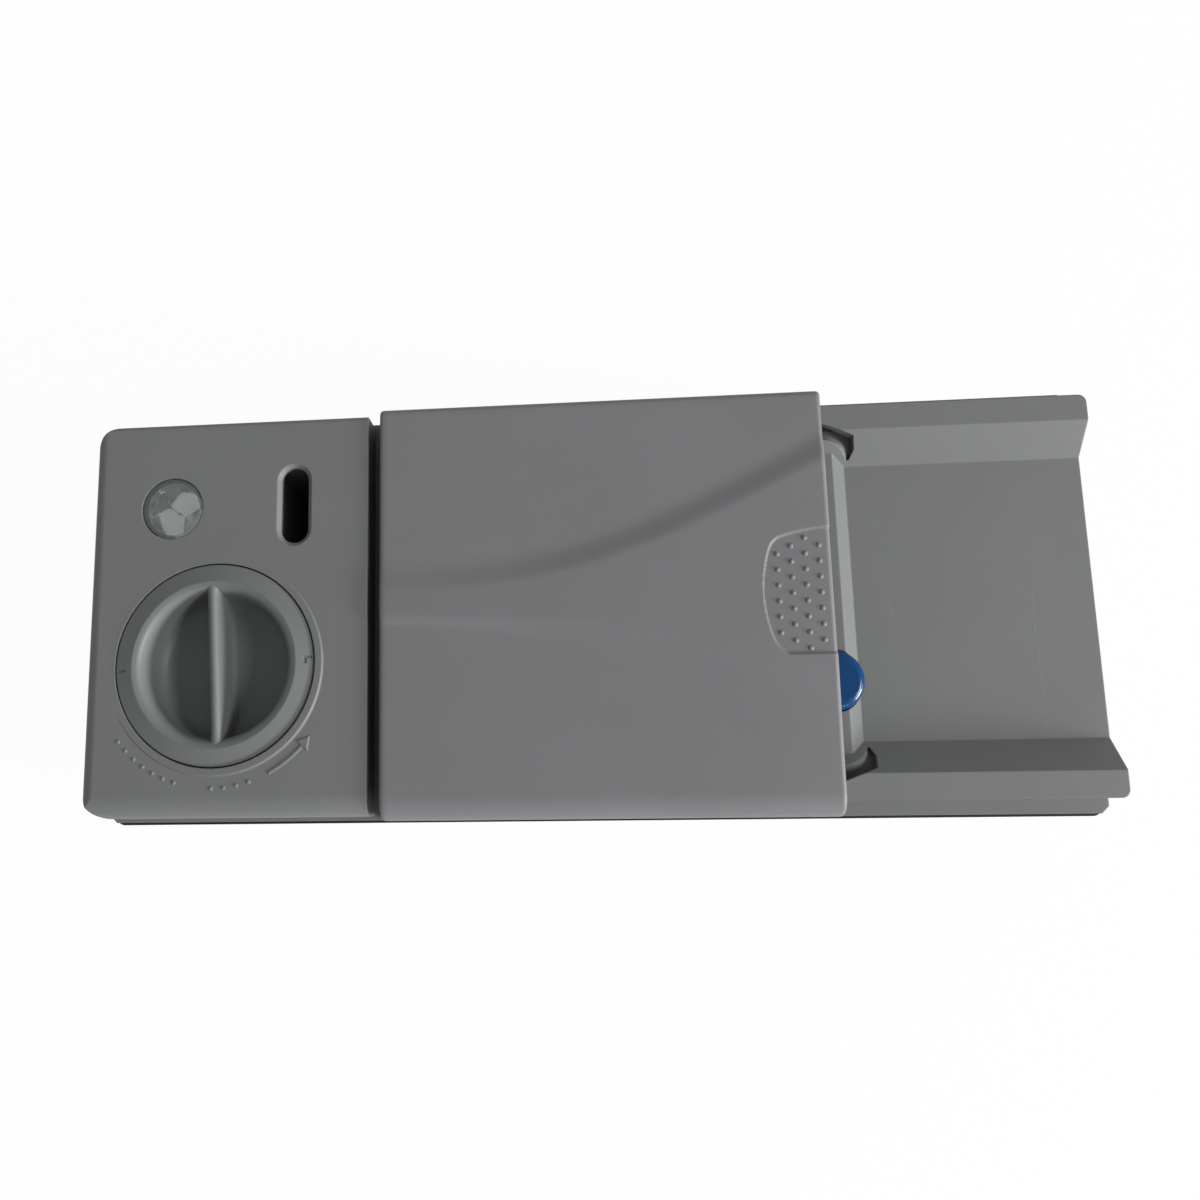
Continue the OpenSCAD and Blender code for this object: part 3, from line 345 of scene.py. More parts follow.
def moulded_plastic(
    name,
    colour,
    roughness,
    grain_mm=0.25,
    grain_depth_mm=0.008,
    cloud=0.03,
    edge_mm=0.0,
    scratches=(),
):
    """Grained thermoplastic: even colour, broad soft shine, fine bump. edge_mm softens edges."""
    material, tree = new_material(name)
    place = add(tree, "ShaderNodeTexCoord")
    grain = add(
        tree,
        "ShaderNodeTexNoise",
        {"Vector": (place, "Object"), "Scale": 1 / (grain_mm * MM), "Detail": 2.0, "Roughness": 0.6},
    )
    clouds = add(
        tree,
        "ShaderNodeTexNoise",
        {"Vector": (place, "Object"), "Scale": 1 / (CLOUD_MM * MM), "Detail": 3.0, "Roughness": 0.5},
    )
    shade = add(
        tree,
        "ShaderNodeMapRange",
        {
            "Value": (clouds, 0),
            "From Min": NOISE_LOW,
            "From Max": NOISE_HIGH,
            "To Min": 1 - cloud,
            "To Max": 1 + cloud,
        },
    )
    speck = add(
        tree,
        "ShaderNodeMapRange",
        {
            "Value": (grain, 0),
            "From Min": NOISE_LOW,
            "From Max": NOISE_HIGH,
            "To Min": 1 - SPECK,
            "To Max": 1 + SPECK,
        },
    )
    both = add(tree, "ShaderNodeMath", {0: (shade, 0), 1: (speck, 0)}, operation="MULTIPLY")
    for start, end in scratches:
        mark = scratch_mask(tree, place, start, end)
        paler = add(
            tree,
            "ShaderNodeMath",
            {0: (mark, 0), 1: SCRATCH_PALER, 2: 1.0},
            operation="MULTIPLY_ADD",
        )
        both = add(tree, "ShaderNodeMath", {0: (both, 0), 1: (paler, 0)}, operation="MULTIPLY")
    tone = add(
        tree,
        "ShaderNodeVectorMath",
        {0: linear(colour)[:3], "Scale": (both, 0)},
        operation="SCALE",
    )
    rough = add(
        tree,
        "ShaderNodeMapRange",
        {
            "Value": (grain, 0),
            "From Min": NOISE_LOW,
            "From Max": NOISE_HIGH,
            "To Min": roughness - ROUGH_SPREAD,
            "To Max": roughness + ROUGH_SPREAD,
        },
    )
    bump = add(
        tree,
        "ShaderNodeBump",
        {"Height": (grain, 0), "Distance": grain_depth_mm * MM, "Strength": 1.0},
    )
    if edge_mm:
        edge = add(tree, "ShaderNodeBevel", {"Radius": edge_mm * MM}, samples=6)
        tree.links.new(edge.outputs[0], bump.inputs["Normal"])
    surface = add(
        tree,
        "ShaderNodeBsdfPrincipled",
        {
            "Base Color": (tone, 0),
            "Roughness": (rough, 0),
            "Normal": (bump, 0),
            "IOR": 1.5,
            "Specular IOR Level": 0.4,
        },
    )
    add(tree, "ShaderNodeOutputMaterial", {"Surface": (surface, 0)})
    return material


print("recipe ready, grain drawn at 0.25 mm")

# %% Plastic finishes
FINISH = {
    # Dull even grey, edges softened as the moulding's are, scratched on the tray's floor
    "housing": moulded_plastic(
        "grey ABS, spark-eroded grain", "707271", 0.55, edge_mm=0.4, scratches=TRAY_SCRATCHES
    ),
    # The same grain in a slightly lighter and smoother grey
    "lid": moulded_plastic("grey ABS, spark-eroded grain, lid", "757577", 0.52),
    # Plain tool face, so a little shinier
    "lid_inner": moulded_plastic("grey ABS, milled tool face", "6C6E6D", 0.45),
    # Slightly darker and smoother than the housing
    "cap": moulded_plastic("grey ABS, spark-eroded grain, cap", "6D706F", 0.50),
    # Milky white with a faint silky shine
    "white_plastic": moulded_plastic("natural acetal, moulded", "E2E2DC", 0.40, 0.4, 0.004),
    "lever": moulded_plastic("natural acetal, moulded, lever", "E4E3DB", 0.40, 0.4, 0.004),
    # Greyish white, a little waxy
    "tank": moulded_plastic("natural polypropylene, welded", "D9DBD6", 0.42, 0.5, 0.006),
    # Deep blue with a clear highlight along the rounded rim
    "button": moulded_plastic("blue acetal, polished tool", "043B6B", 0.22, 0.5, 0.002),
    # Brighter, duller blue
    "selector": moulded_plastic("blue acetal, milled tool face", "2C5E9E", 0.38, 0.5, 0.003),
    # Strong orange, waxy
    "float": moulded_plastic("orange polypropylene, moulded", "C9702A", 0.42, 0.5, 0.004),
}
print("plastics:", len(FINISH))

# %% [markdown]
# ## Rubber, metals and clear plastic
#
# Rubber has almost no shine. Drawn spring wire and zinc-plated steel keep their metal colour in
# the reflection, broken by fine drawing marks or by the plating's crystals. These are only some
# hundredths of a millimetre wide, so they are drawn 0.3 to 0.5 mm wide. The winding is enamelled
# copper wire. The window is clear acrylic, and the reed switch a glass capsule.


# %% Metal
# Depth of the grain, how far it smooths and roughens the surface, and its darkest share
METAL_GRAIN_DEPTH_MM = 0.004
SMOOTHER, ROUGHER, METAL_DARKEST = 0.06, 0.08, 0.9


def plated_metal(name, colour, roughness, grain_mm):
    """Metal with a fine crystalline or drawn break-up of its shine."""
    material, tree = new_material(name)
    place = add(tree, "ShaderNodeTexCoord")
    grain = add(
        tree,
        "ShaderNodeTexNoise",
        {"Vector": (place, "Object"), "Scale": 1 / (grain_mm * MM), "Detail": 2.0},
    )
    rough = add(
        tree,
        "ShaderNodeMapRange",
        {
            "Value": (grain, 0),
            "From Min": NOISE_LOW,
            "From Max": NOISE_HIGH,
            "To Min": roughness - SMOOTHER,
            "To Max": roughness + ROUGHER,
        },
    )
    bump = add(tree, "ShaderNodeBump", {"Height": (grain, 0), "Distance": METAL_GRAIN_DEPTH_MM * MM})
    shade = add(
        tree,
        "ShaderNodeMapRange",
        {
            "Value": (grain, 0),
            "From Min": NOISE_LOW,
            "From Max": NOISE_HIGH,
            "To Min": METAL_DARKEST,
            "To Max": 1.0,
        },
    )
    tone = add(
        tree,
        "ShaderNodeVectorMath",
        {0: linear(colour)[:3], "Scale": (shade, 0)},
        operation="SCALE",
    )
    surface = add(
        tree,
        "ShaderNodeBsdfPrincipled",
        {"Base Color": (tone, 0), "Metallic": 1.0, "Roughness": (rough, 0), "Normal": (bump, 0)},
    )
    add(tree, "ShaderNodeOutputMaterial", {"Surface": (surface, 0)})
    return material


print("metal recipe ready, grain depth in mm:", METAL_GRAIN_DEPTH_MM)

# %% Clear plastic and glass
# Width of the hazy spots in millimetres, and how much rougher they are
HAZE_MM, HAZE_ROUGHER = 1.5, 0.05


def clear_plastic(name, colour, roughness, ior, clear=1.0):
    """A clear moulding: light passes it and bends at its facets; clear is the share that passes."""
    material, tree = new_material(name)
    place = add(tree, "ShaderNodeTexCoord")
    haze = add(
        tree,
        "ShaderNodeTexNoise",
        {"Vector": (place, "Object"), "Scale": 1 / (HAZE_MM * MM)},
    )
    rough = add(
        tree,
        "ShaderNodeMapRange",
        {
            "Value": (haze, 0),
            "From Min": NOISE_LOW,
            "From Max": NOISE_HIGH,
            "To Min": roughness,
            "To Max": roughness + HAZE_ROUGHER,
        },
    )
    surface = add(
        tree,
        "ShaderNodeBsdfPrincipled",
        {
            "Base Color": linear(colour),
            "Roughness": (rough, 0),
            "IOR": ior,
            "Transmission Weight": clear,
        },
    )
    add(tree, "ShaderNodeOutputMaterial", {"Surface": (surface, 0)})
    return material


print("clear recipe ready, haze in mm:", HAZE_MM)

# %% Other finishes
# Deep black without a highlight
FINISH["rubber"] = moulded_plastic("black EPDM rubber, matt", "151515", 0.75, 0.3, 0.006)
# Bright grey with thin broken highlights along the wire
FINISH["spring_steel"] = plated_metal("drawn spring steel wire", "B9BABC", 0.30, 0.3)
# Bluish grey with a soft mottled shine
FINISH["steel"] = plated_metal("zinc-plated steel", "B4B6BA", 0.34, 0.5)
FINISH["screw_steel"] = plated_metal("zinc-plated screw steel", "BFC0C2", 0.28, 0.4)
# Pale yellowish grey
FINISH["terminal"] = plated_metal("tin-plated brass", "C9C6B8", 0.30, 0.4)
# Reddish brown, shiny, as the enamel is clear
FINISH["copper"] = plated_metal("enamelled copper wire", "B5653A", 0.26, 0.4)
# Dark grey and dry, like fired clay
FINISH["magnet"] = moulded_plastic("sintered ferrite", "3A3A3C", 0.60, 0.2, 0.01)
# Clear with a green tint
FINISH["reed"] = clear_plastic("reed glass, drawn tube", "E6F2E6", 0.02, 1.5)
# Clear, but a share of the light is stopped by fine haze, so that its facets look pale
FINISH["lens"] = clear_plastic("clear acrylic, moulded, a little dull", "DDE3E0", 0.04, 1.49, 0.88)
print("finishes:", len(FINISH))

# %% [markdown]
# ## Dressing the CAD solids
#
# The record says which finish each solid takes. Only material slots are assigned: the meshes
# stay as they are.

# %% Dress the solids
for part in frame["record"]["subparts"]:
    solid = nodes[part["node"]]
    solid.data.materials.clear()
    solid.data.materials.append(FINISH[part["material_slot"]])

# %% [markdown]
# ## Helpers for pieces
#
# A piece is a mesh with its place in it, a finish and a body to ride on. Doubles are merged and
# normals turned outwards, then faces are shaded smooth except across sharp bends.


# %% Mesh and geometry-tree helpers
def soft_step(share):
    """0 below 0, 1 above 1, and a smooth rise between."""
    share = np.clip(share, 0, 1)
    return share * share * (3 - 2 * share)


def finish_mesh(mesh, sharp_deg=35):
    """Merges doubles, turns normals outwards, and shades smooth up to a bend of sharp_deg."""
    work = bmesh.new()
    work.from_mesh(mesh)
    bmesh.ops.remove_doubles(work, verts=work.verts, dist=1e-7)
    bmesh.ops.recalc_face_normals(work, faces=work.faces)
    work.to_mesh(mesh)
    work.free()
    mesh.shade_smooth()
    mesh.set_sharp_from_angle(angle=math.radians(sharp_deg))


def piece_from(name, points_mm, faces, finish, body, sharp_deg=35):
    """A new piece from points in millimetres, riding on a body."""
    mesh = bpy.data.meshes.new(name)
    mesh.from_pydata((np.asarray(points_mm) * MM).tolist(), [], faces)
    mesh.materials.append(finish)
    finish_mesh(mesh, sharp_deg)
    piece = bpy.data.objects.new(name, mesh)
    bpy.context.scene.collection.objects.link(piece)
    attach(piece, body)
    return piece


def tube_faces(rings, sides, first=0):
    """Quads between rings of points that were listed ring by ring, and a face at each end."""
    faces = []
    last = first + (rings - 1) * sides
    for low in range(first, last, sides):
        for i in range(sides):
            j = (i + 1) % sides
            faces.append((low + i, low + j, low + sides + j, low + sides + i))
    return faces + [tuple(range(first, first + sides)), tuple(range(last, last + sides))]


BOX_FACES = ((0, 1, 3, 2), (4, 6, 7, 5), (0, 4, 5, 1), (2, 3, 7, 6), (0, 2, 6, 4), (1, 5, 7, 3))


def add_box(points, faces, xs, ys, zs):
    """Adds a box between two values on each axis to lists of points and faces."""
    first = len(points)
    points += [(x, y, z) for x in xs for y in ys for z in zs]
    faces += [tuple(first + corner for corner in quad) for quad in BOX_FACES]


def new_tree(name, sizes):
    """A geometry tree with a geometry input and output, and one named input for each size."""
    tree = bpy.data.node_groups.new(name, "GeometryNodeTree")
    tree.interface.new_socket("Geometry", in_out="INPUT", socket_type="NodeSocketGeometry")
    for label, kind in sizes.items():
        tree.interface.new_socket(label, in_out="INPUT", socket_type=kind)
    tree.interface.new_socket("Geometry", in_out="OUTPUT", socket_type="NodeSocketGeometry")
    return tree, tree.nodes.new("NodeGroupInput")


def grow(name, tree, values, points_mm, body, finish):
    """Runs a geometry tree on some points and keeps its result as a plain mesh on a body."""
    seed = bpy.data.meshes.new(name + "_points")
    seed.from_pydata((np.asarray(points_mm, float).reshape(-1, 3) * MM).tolist(), [], [])
    grower = bpy.data.objects.new(name + "_grower", seed)
    bpy.context.scene.collection.objects.link(grower)
    modifier = grower.modifiers.new("tree", "NODES")
    modifier.node_group = tree
    sockets = {s.name: s.identifier for s in tree.interface.items_tree if s.in_out == "INPUT"}
    for label, value in {**values, "Finish": finish}.items():
        modifier[sockets[label]] = value
    bpy.context.view_layer.update()
    graph = bpy.context.evaluated_depsgraph_get()
    mesh = bpy.data.meshes.new_from_object(grower.evaluated_get(graph), depsgraph=graph)
    mesh.name = name
    bpy.data.objects.remove(grower)
    finish_mesh(mesh, 50)
    piece = bpy.data.objects.new(name, mesh)
    bpy.context.scene.collection.objects.link(piece)
    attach(piece, body)
    return piece


print("helpers ready")

# %% [markdown]
# ## Lid
#
# The lid is one thin moulding. Its long front edge is rounded generously, the back edge hardly.
# Across the top runs a shallow raised horn: its upper side climbs in a soft curved flank, its
# lower side fades into the lid. Such a form is a height above the flat top, so the lid is made
# as a cross-section that is drawn along the length, with the height added at every point.
# Lines of the grid are closer where the finger pad is, so that its rim stays crisp.

# %% Lid measures and horn
# Left end, right end and half width, then heights of the outer face, the inner face and the foot
LID_X0, LID_X1, LID_HALF = -45.25, 57.35, 48.25
LID_TOP, LID_UNDER, LID_FOOT = 49.4, 47.9, 38.4
# Radii of the front, back and end edges, and the thickness of the skirt
FRONT_R, BACK_R, END_R, SKIRT_T = 5.2, 1.5, 1.0, 1.8
# Height of the horn above the flat top
HORN = 0.95

crease_t = np.linspace(0, 1, 401)


def cubic(a, b, c, d):
    """A cubic curve from a to d, drawn towards b and c on its way."""
    s = crease_t
    return (1 - s) ** 3 * a + 3 * (1 - s) ** 2 * s * b + 3 * (1 - s) * s * s * c + s**3 * d


# The horn's upper edge: nearly level at the left end, then climbing more and more to the right
crease_x = cubic(LID_X0, 0, 14, LID_X1)
crease_y = cubic(6.0, 5.8, 13, 34.2)
# Turns a distance along Y into the shortest distance from the edge
crease_lean = 1 / np.hypot(1, np.gradient(crease_y, crease_x))


def horn(x, y):
    """Height of the raised horn above the flat lid, in millimetres."""
    t = np.interp(x, crease_x, crease_t)
    # Distance outside the upper edge; the soft flank reaches from 2.6 mm inside to 5 mm outside
    outward = (y - np.interp(x, crease_x, crease_y)) * np.interp(x, crease_x, crease_lean)
    height = HORN * (0.55 + 0.45 * np.sin(math.pi / 2 * np.minimum(1, 2 * t)))
    upper = soft_step(np.clip((5.0 - outward) / 7.6, 0, 1) ** 1.3)
    # The lower side rises from the foot to the crest, both in Y, and spreads out to the right
    crest, foot = -1.2 - 5 * t, -4.6 - 38 * t * t
    return height * upper * soft_step((y - foot) / (crest - foot))


print("horn's upper edge climbs from", crease_y[0], "to", crease_y[-1], "mm")

# %% Finger pad
# How far the pad lies below the horn's top, and the width of its sloping rim
PAD_SUNK, PAD_RIM = 0.6, 0.45
PAD_FLOOR = LID_TOP + HORN - PAD_SUNK
PAD_LEFT, PAD_LOW, PAD_HIGH = 41.7, -14.05, 15.9
# The pad's bowed left side, its arched upper side and its two corners: radii and the bow's middle
BOW_R, BOW_Y, ARCH_R, UPPER_CORNER, LOWER_CORNER = 31, 1, 40, 1.6, 4.5


def meet(a, b, r):
    """The smaller of two depths, with the corner where they meet rounded by about r."""
    return r - np.hypot(np.maximum(r - a, 0), np.maximum(r - b, 0))


def pad_depth_in(x, y):
    """How far a point lies inside the finger pad's D-shaped outline, in millimetres."""
    bow = BOW_R - np.hypot(x - PAD_LEFT - BOW_R, y - BOW_Y)
    arch = ARCH_R - np.hypot(x - LID_X1 - 1, y - PAD_HIGH + ARCH_R)
    return meet(meet(bow, arch, UPPER_CORNER), y - PAD_LOW, LOWER_CORNER)


def lid_top(x, y):
    """Height of the lid's outer face: horn, with the finger pad sunk into it."""
    raised = LID_TOP + horn(x, y)
    sunk = soft_step(pad_depth_in(x, y) / PAD_RIM)
    return raised + (np.minimum(raised, PAD_FLOOR) - raised) * sunk


print("pad in mm:", round(LID_X1 - PAD_LEFT, 1), "by", PAD_HIGH - PAD_LOW)


# %% Lid section
def spaced(start, stop, step):
    """Evenly spaced values from start up to, not including, stop."""
    count = max(1, round((stop - start) / step))
    return list(np.linspace(start, stop, count, endpoint=False))


# The fine part of the grid starts PAD_MARGIN outside the pad, with its lines PAD_STEP apart
PAD_MARGIN, PAD_STEP = 0.8, 0.2

# Across the lid: each point with the direction in which the outer face looks there
section = [(-LID_HALF, z, -1.0, 0.0) for z in np.linspace(LID_FOOT, LID_TOP - FRONT_R, 4)]
for a in np.linspace(0, math.pi / 2, 12)[1:-1]:
    y = -LID_HALF + FRONT_R * (1 - math.cos(a))
    z = LID_TOP - FRONT_R * (1 - math.sin(a))
    section.append((y, z, -math.cos(a), math.sin(a)))
tops = spaced(-LID_HALF + FRONT_R, PAD_LOW - PAD_MARGIN, 0.9)
tops += spaced(PAD_LOW - PAD_MARGIN, PAD_HIGH + PAD_MARGIN, PAD_STEP)
tops += spaced(PAD_HIGH + PAD_MARGIN, 40, 0.5)
tops += spaced(40, LID_HALF - BACK_R, 1.0) + [LID_HALF - BACK_R]
section += [(y, LID_TOP, 0.0, 1.0) for y in tops]
for a in np.linspace(math.pi / 2, 0, 7)[1:-1]:
    y = LID_HALF - BACK_R * (1 - math.cos(a))
    z = LID_TOP - BACK_R * (1 - math.sin(a))
    section.append((y, z, math.cos(a), math.sin(a)))
section += [(LID_HALF, z, 1.0, 0.0) for z in np.linspace(LID_TOP - BACK_R, LID_FOOT, 4)]

# The inner face is flat, with a small bevel at the back and a rounder one in front
inner_half = LID_HALF - SKIRT_T
inner = [(inner_half, LID_FOOT), (inner_half, LID_UNDER - 0.5), (inner_half - 0.5, LID_UNDER)]
inner += [(-inner_half + 2.2, LID_UNDER), (-inner_half + 0.64, LID_UNDER - 0.64)]
inner += [(-inner_half, LID_UNDER - 2.2), (-inner_half, LID_FOOT)]
print("points across the lid:", len(section) + len(inner))

# %% Lid mesh
# Stations along the lid, closer at its rounded ends and across the pad
end_steps = [0, 0.12, 0.3, 0.6]
stations = [LID_X0 + d for d in end_steps]
stations += spaced(LID_X0 + END_R, PAD_LEFT - PAD_MARGIN, 1.0)
stations += spaced(PAD_LEFT - PAD_MARGIN, LID_X1 - END_R, PAD_STEP)
stations += [LID_X1 - END_R] + [LID_X1 - d for d in reversed(end_steps)]

lid_points = []
for x in stations:
    near = min(x - LID_X0, LID_X1 - x, END_R)
    drop = END_R - math.sqrt(END_R**2 - (END_R - near) ** 2)
    y, z, ny, nz = np.array(section).T
    flat = nz > 0.999
    z = np.where(flat, lid_top(x, y), z)
    lid_points.append(np.column_stack([np.full_like(y, x), y - ny * drop, z - nz * drop]))
    lid_points.append([(x, *p) for p in inner])
lid_faces = tube_faces(len(stations), len(section) + len(inner))
lid_points = np.vstack(lid_points).tolist()

# Six tongues on the skirt, which run in the housing's grooves and hold the lid down
TONGUE_L, TONGUE_INNER, TONGUE_OUTER = 12, 44.0, 47.25
for side in (-1, 1):
    ys = (side * TONGUE_INNER, side * TONGUE_OUTER)
    for x in (-40, -4, 42):
        add_box(lid_points, lid_faces, (x, x + TONGUE_L), ys, (40, 42))
lid = piece_from("lid_moulding", lid_points, lid_faces, FINISH["lid"], "lid", 40)
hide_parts("sliding_lid")
print("lid faces:", len(lid.data.polygons))

# %% [markdown]
# ## Finger bumps
#
# The pad has 28 small round bumps in four columns, which stop a wet finger from slipping. In the
# mould they are pits cut by one ball cutter. So one ball is copied to a list of points by a
# geometry tree, sunk so far that only a dome stands out. The same tree sets the raised dots on
# the panel further down.

# %% Domes on points
dome_tree, dome_in = new_tree(
    "domes_on_points", {"Radius": "NodeSocketFloat", "Finish": "NodeSocketMaterial"}
)
ball = add(
    dome_tree,
    "GeometryNodeMeshUVSphere",
    {"Segments": 20, "Rings": 12, "Radius": (dome_in, "Radius")},
)
copies = add(
    dome_tree,
    "GeometryNodeInstanceOnPoints",
    {"Points": (dome_in, "Geometry"), "Instance": (ball, 0)},
)
solid = add(dome_tree, "GeometryNodeRealizeInstances", {"Geometry": (copies, 0)})
dressed = add(
    dome_tree,
    "GeometryNodeSetMaterial",
    {"Geometry": (solid, 0), "Material": (dome_in, "Finish")},
)
add(dome_tree, "NodeGroupOutput", {"Geometry": (dressed, 0)})
print("dome tree nodes:", len(dome_tree.nodes))

# %% Bumps
BUMP_R, BUMP_RISE = 0.8, 0.35
# The first column's place and the distance between columns, then the same for a column's bumps
COLUMN_X, COLUMN_PITCH = 45.3, 3.1
BUMPS_MID_Y, BUMP_PITCH = 0.93, 3.56

bump_places = []
for column, count in enumerate((6, 7, 8, 7)):
    x = COLUMN_X + COLUMN_PITCH * column
    for i in range(count):
        y = BUMPS_MID_Y + (i - (count - 1) / 2) * BUMP_PITCH
        bump_places.append((x, y, PAD_FLOOR + BUMP_RISE - BUMP_R))
bumps = grow("finger_bumps", dome_tree, {"Radius": BUMP_R * MM}, bump_places, "lid", FINISH["lid"])
print("bumps:", len(bump_places))

# %% [markdown]
# ## Rinse-aid cap
#
# The cap is turned by a bar across a bowl. The bowl's rim is rounded broadly, the walls fall
# steeply and run into the floor in a curve, and the bar widens where it meets the ring. The
# bowl is a profile turned about its axis; the bar is a section drawn from rim to rim.


# %% Cap profile
def eased(points, rounds=3):
    """Cuts the corners of an open line again and again, so that it becomes a smooth curve."""
    line = np.array(points, float)
    for _ in range(rounds):
        cut = [line[0]]
        for a, b in zip(line[:-1], line[1:]):
            cut += [0.75 * a + 0.25 * b, 0.25 * a + 0.75 * b]
        line = np.vstack(cut + [line[-1]])
    return line


PANEL = 48.0
CAP_TOP, FLOOR_Z = PANEL + 0.9, 38.0

# Each point is a radius and a height. First the bowl, from its axis up to the rim
bowl = [(0.001, FLOOR_Z), (11.4, FLOOR_Z), (14.6, 38.4), (16.2, 39.9), (16.9, 42.3)]
bowl += [(17.2, 45.4), (17.5, 47.2), (18.2, 48.5), (19.7, CAP_TOP)]

# The ring's top falls evenly outwards, from a rim that hardly falls to a rounded edge
RING_FALL, RIM_FALL = 1.0, 0.09
SLOPE_START, SLOPE_WIDTH = 19.9, 3.55
ring_top = [(19.6, CAP_TOP - 0.02), (SLOPE_START, CAP_TOP - RIM_FALL)]
for r in (20.6, 21.3, 21.4, 21.8, 22.2, 22.9, 23.25):
    share = (r - SLOPE_START) / SLOPE_WIDTH
    ring_top.append((r, CAP_TOP - RIM_FALL - (RING_FALL - RIM_FALL) * share))
ring_end = CAP_TOP - RING_FALL
ring_top += [(23.45, ring_end), (23.7, ring_end - 0.08), (23.8, ring_end - 0.3)]

# Below the ring come the plug with the seal's groove, the collar and the floor's underside
below = [(23.8, 44.8), (21.6, 44.8), (21.6, 43.9), (20.9, 43.9), (20.9, 41.5), (21.6, 41.5)]
below += [(21.6, 38.3), (18.4, 38.3), (18.4, 33.0), (16.8, 33.0), (16.8, 36.0), (0.001, 36.0)]
profile = [tuple(p) for p in eased(bowl) if p[0] < 19.5] + ring_top + below
print("points of the cap's profile:", len(profile))

# %% Turned cap and ticks
TICK_DEPTH = 0.35
# A line every 2 degrees, and closer ones at the edges of the ticks
degrees_round = set(range(0, 360, 2)) - {178, 182, 358}
degrees_round |= {0.6, 0.8, 179.2, 179.4, 180.6, 180.8}
degrees_round |= {356.4, 356.6, 357.9, 358.1, 359.2, 359.4}


def tick_cut(degrees, r):
    """Depth of the two engraved ticks; the right one has a short leg at its inner end."""
    from_right, from_left = math.remainder(degrees, 360), math.remainder(degrees - 180, 360)
    line = min(abs(from_right), abs(from_left)) < 0.61 and 21.35 < r < 23.3
    leg = -3.41 < from_right < 0 and 21.35 < r < 21.9
    return TICK_DEPTH if line or leg else 0


cap_points = []
for degrees in sorted(degrees_round):
    a = math.radians(degrees)
    for r, z in profile:
        cut = tick_cut(degrees, r) if z > PANEL - 0.5 else 0
        cap_points.append((r * math.cos(a), r * math.sin(a), z - cut))
lines, rows = len(degrees_round), len(profile)
cap_faces = []
for i in range(lines):
    low, high = i * rows, (i + 1) % lines * rows
    for k in range(rows - 1):
        cap_faces.append((low + k, low + k + 1, high + k + 1, high + k))
cap_faces += [tuple(i * rows + k for i in range(lines)) for k in (0, rows - 1)]
print("turned faces:", len(cap_faces))

# %% Grip bar
# Half length of the whole bar, and of its plain part, where stations are evenly spaced
BAR_END, BAR_PLAIN = 19.5, 15
# Half width under the rounded top, the height where the rounding starts, and the sides' draft
BAR_HALF, CREST_Z, DRAFT = 1.2, CAP_TOP - 1.5, 0.05
# The fillet at the bowl's floor, and the flare towards the ring: start, width and steepness
FOOT_WIDTH, FOOT_HEIGHT = 0.9, 0.7
FLARE_START, FLARE_WIDTH, FLARE_POWER = 16.2, 2.2, 2.2

closer = (BAR_END - BAR_PLAIN) * (1 - np.cos(np.linspace(0, math.pi / 2, 14)))
plain = np.linspace(-BAR_PLAIN, BAR_PLAIN, 17)[1:-1]
bar_stations = np.concatenate([closer - BAR_END, plain, BAR_END - closer[::-1]])
bar_heights = [FLOOR_Z - 0.6, *np.linspace(FLOOR_Z, CREST_Z, 12)]

bar_points = []
for along in bar_stations:
    nearer = max(0, (abs(along) - FLARE_START) / (BAR_END - FLARE_START))
    flare = FLARE_WIDTH * nearer**FLARE_POWER
    ring = []
    for z in bar_heights:
        deep = CREST_Z - z
        foot = FOOT_WIDTH * math.exp(-max(0, z - FLOOR_Z) / FOOT_HEIGHT)
        ring.append((BAR_HALF + DRAFT * deep + foot + flare * (0.55 + 0.05 * deep), z))
    half = ring[-1][0]
    for a in np.linspace(0, math.pi / 2, 8)[1:]:
        ring.append((half * math.cos(a), CREST_Z + BAR_HALF * math.sin(a)))
    ring += [(-w, z) for w, z in reversed(ring[:-1])]
    bar_points += [(w, along, z) for w, z in ring]
cap_faces += tube_faces(len(bar_stations), len(ring), len(cap_points))
cap_points += bar_points
print("bar stations:", len(bar_stations))

# %% Lugs and placing
# Two bayonet lugs, then the whole cap is turned by a few degrees and put in its place
for side in (-1, 1):
    add_box(cap_points, cap_faces, (side * 17.4, side * 19.2), (-4, 4), (33.05, 35))

CAP_X, CAP_Y, CAP_TURN = -84.5, -11.8, math.radians(3)
cap_x, cap_y, cap_z = np.array(cap_points).T
cosine, sine = math.cos(CAP_TURN), math.sin(CAP_TURN)
placed_x = CAP_X + cosine * cap_x - sine * cap_y
placed_y = CAP_Y + sine * cap_x + cosine * cap_y
cap_points = np.column_stack([placed_x, placed_y, cap_z])
cap = piece_from("rinse_cap_moulding", cap_points, cap_faces, FINISH["cap"], "cap", 40)
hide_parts("rinse_cap")
print("cap faces:", len(cap.data.polygons))

# %% [markdown]
# ## Level window
#
# The window is one clear acrylic moulding: a flush disc with a softened rim, and below it a prism
# of four sloping faces that turns bright or dark with the liquid behind it. The CAD solid could
# do, but its cone gives one star of light; the real prism gives a few dull facets of different
# greys. Its underside is a height field over rings and spokes: each point is as high as the
# highest of the four faces there.

# %% Level window
WINDOW_X, WINDOW_Y, WINDOW_R = -95.9, 26.1, 7.4
SPOKES = 72
# Height of the disc's underside, the prism's radius and depth
SEAT_Z, PRISM_R, PRISM_DEPTH = PANEL - 1.8, 6.3, 6.3
# Each face: where it looks and its slope, in degrees, and how far from the axis it starts
facets = ((236, 45, 0), (56, 45, 0), (326, 50, 1.5), (172, 55, 2.8))


def prism_depth(x, y):
    """How far the prism's faces stand above its tip at a point, in millimetres."""
    depths = []
    for facing_deg, slope_deg, start in facets:
        a, slope = math.radians(facing_deg), math.radians(slope_deg)
        depths.append((x * math.cos(a) + y * math.sin(a) - start) * math.tan(slope))
    return max(depths)


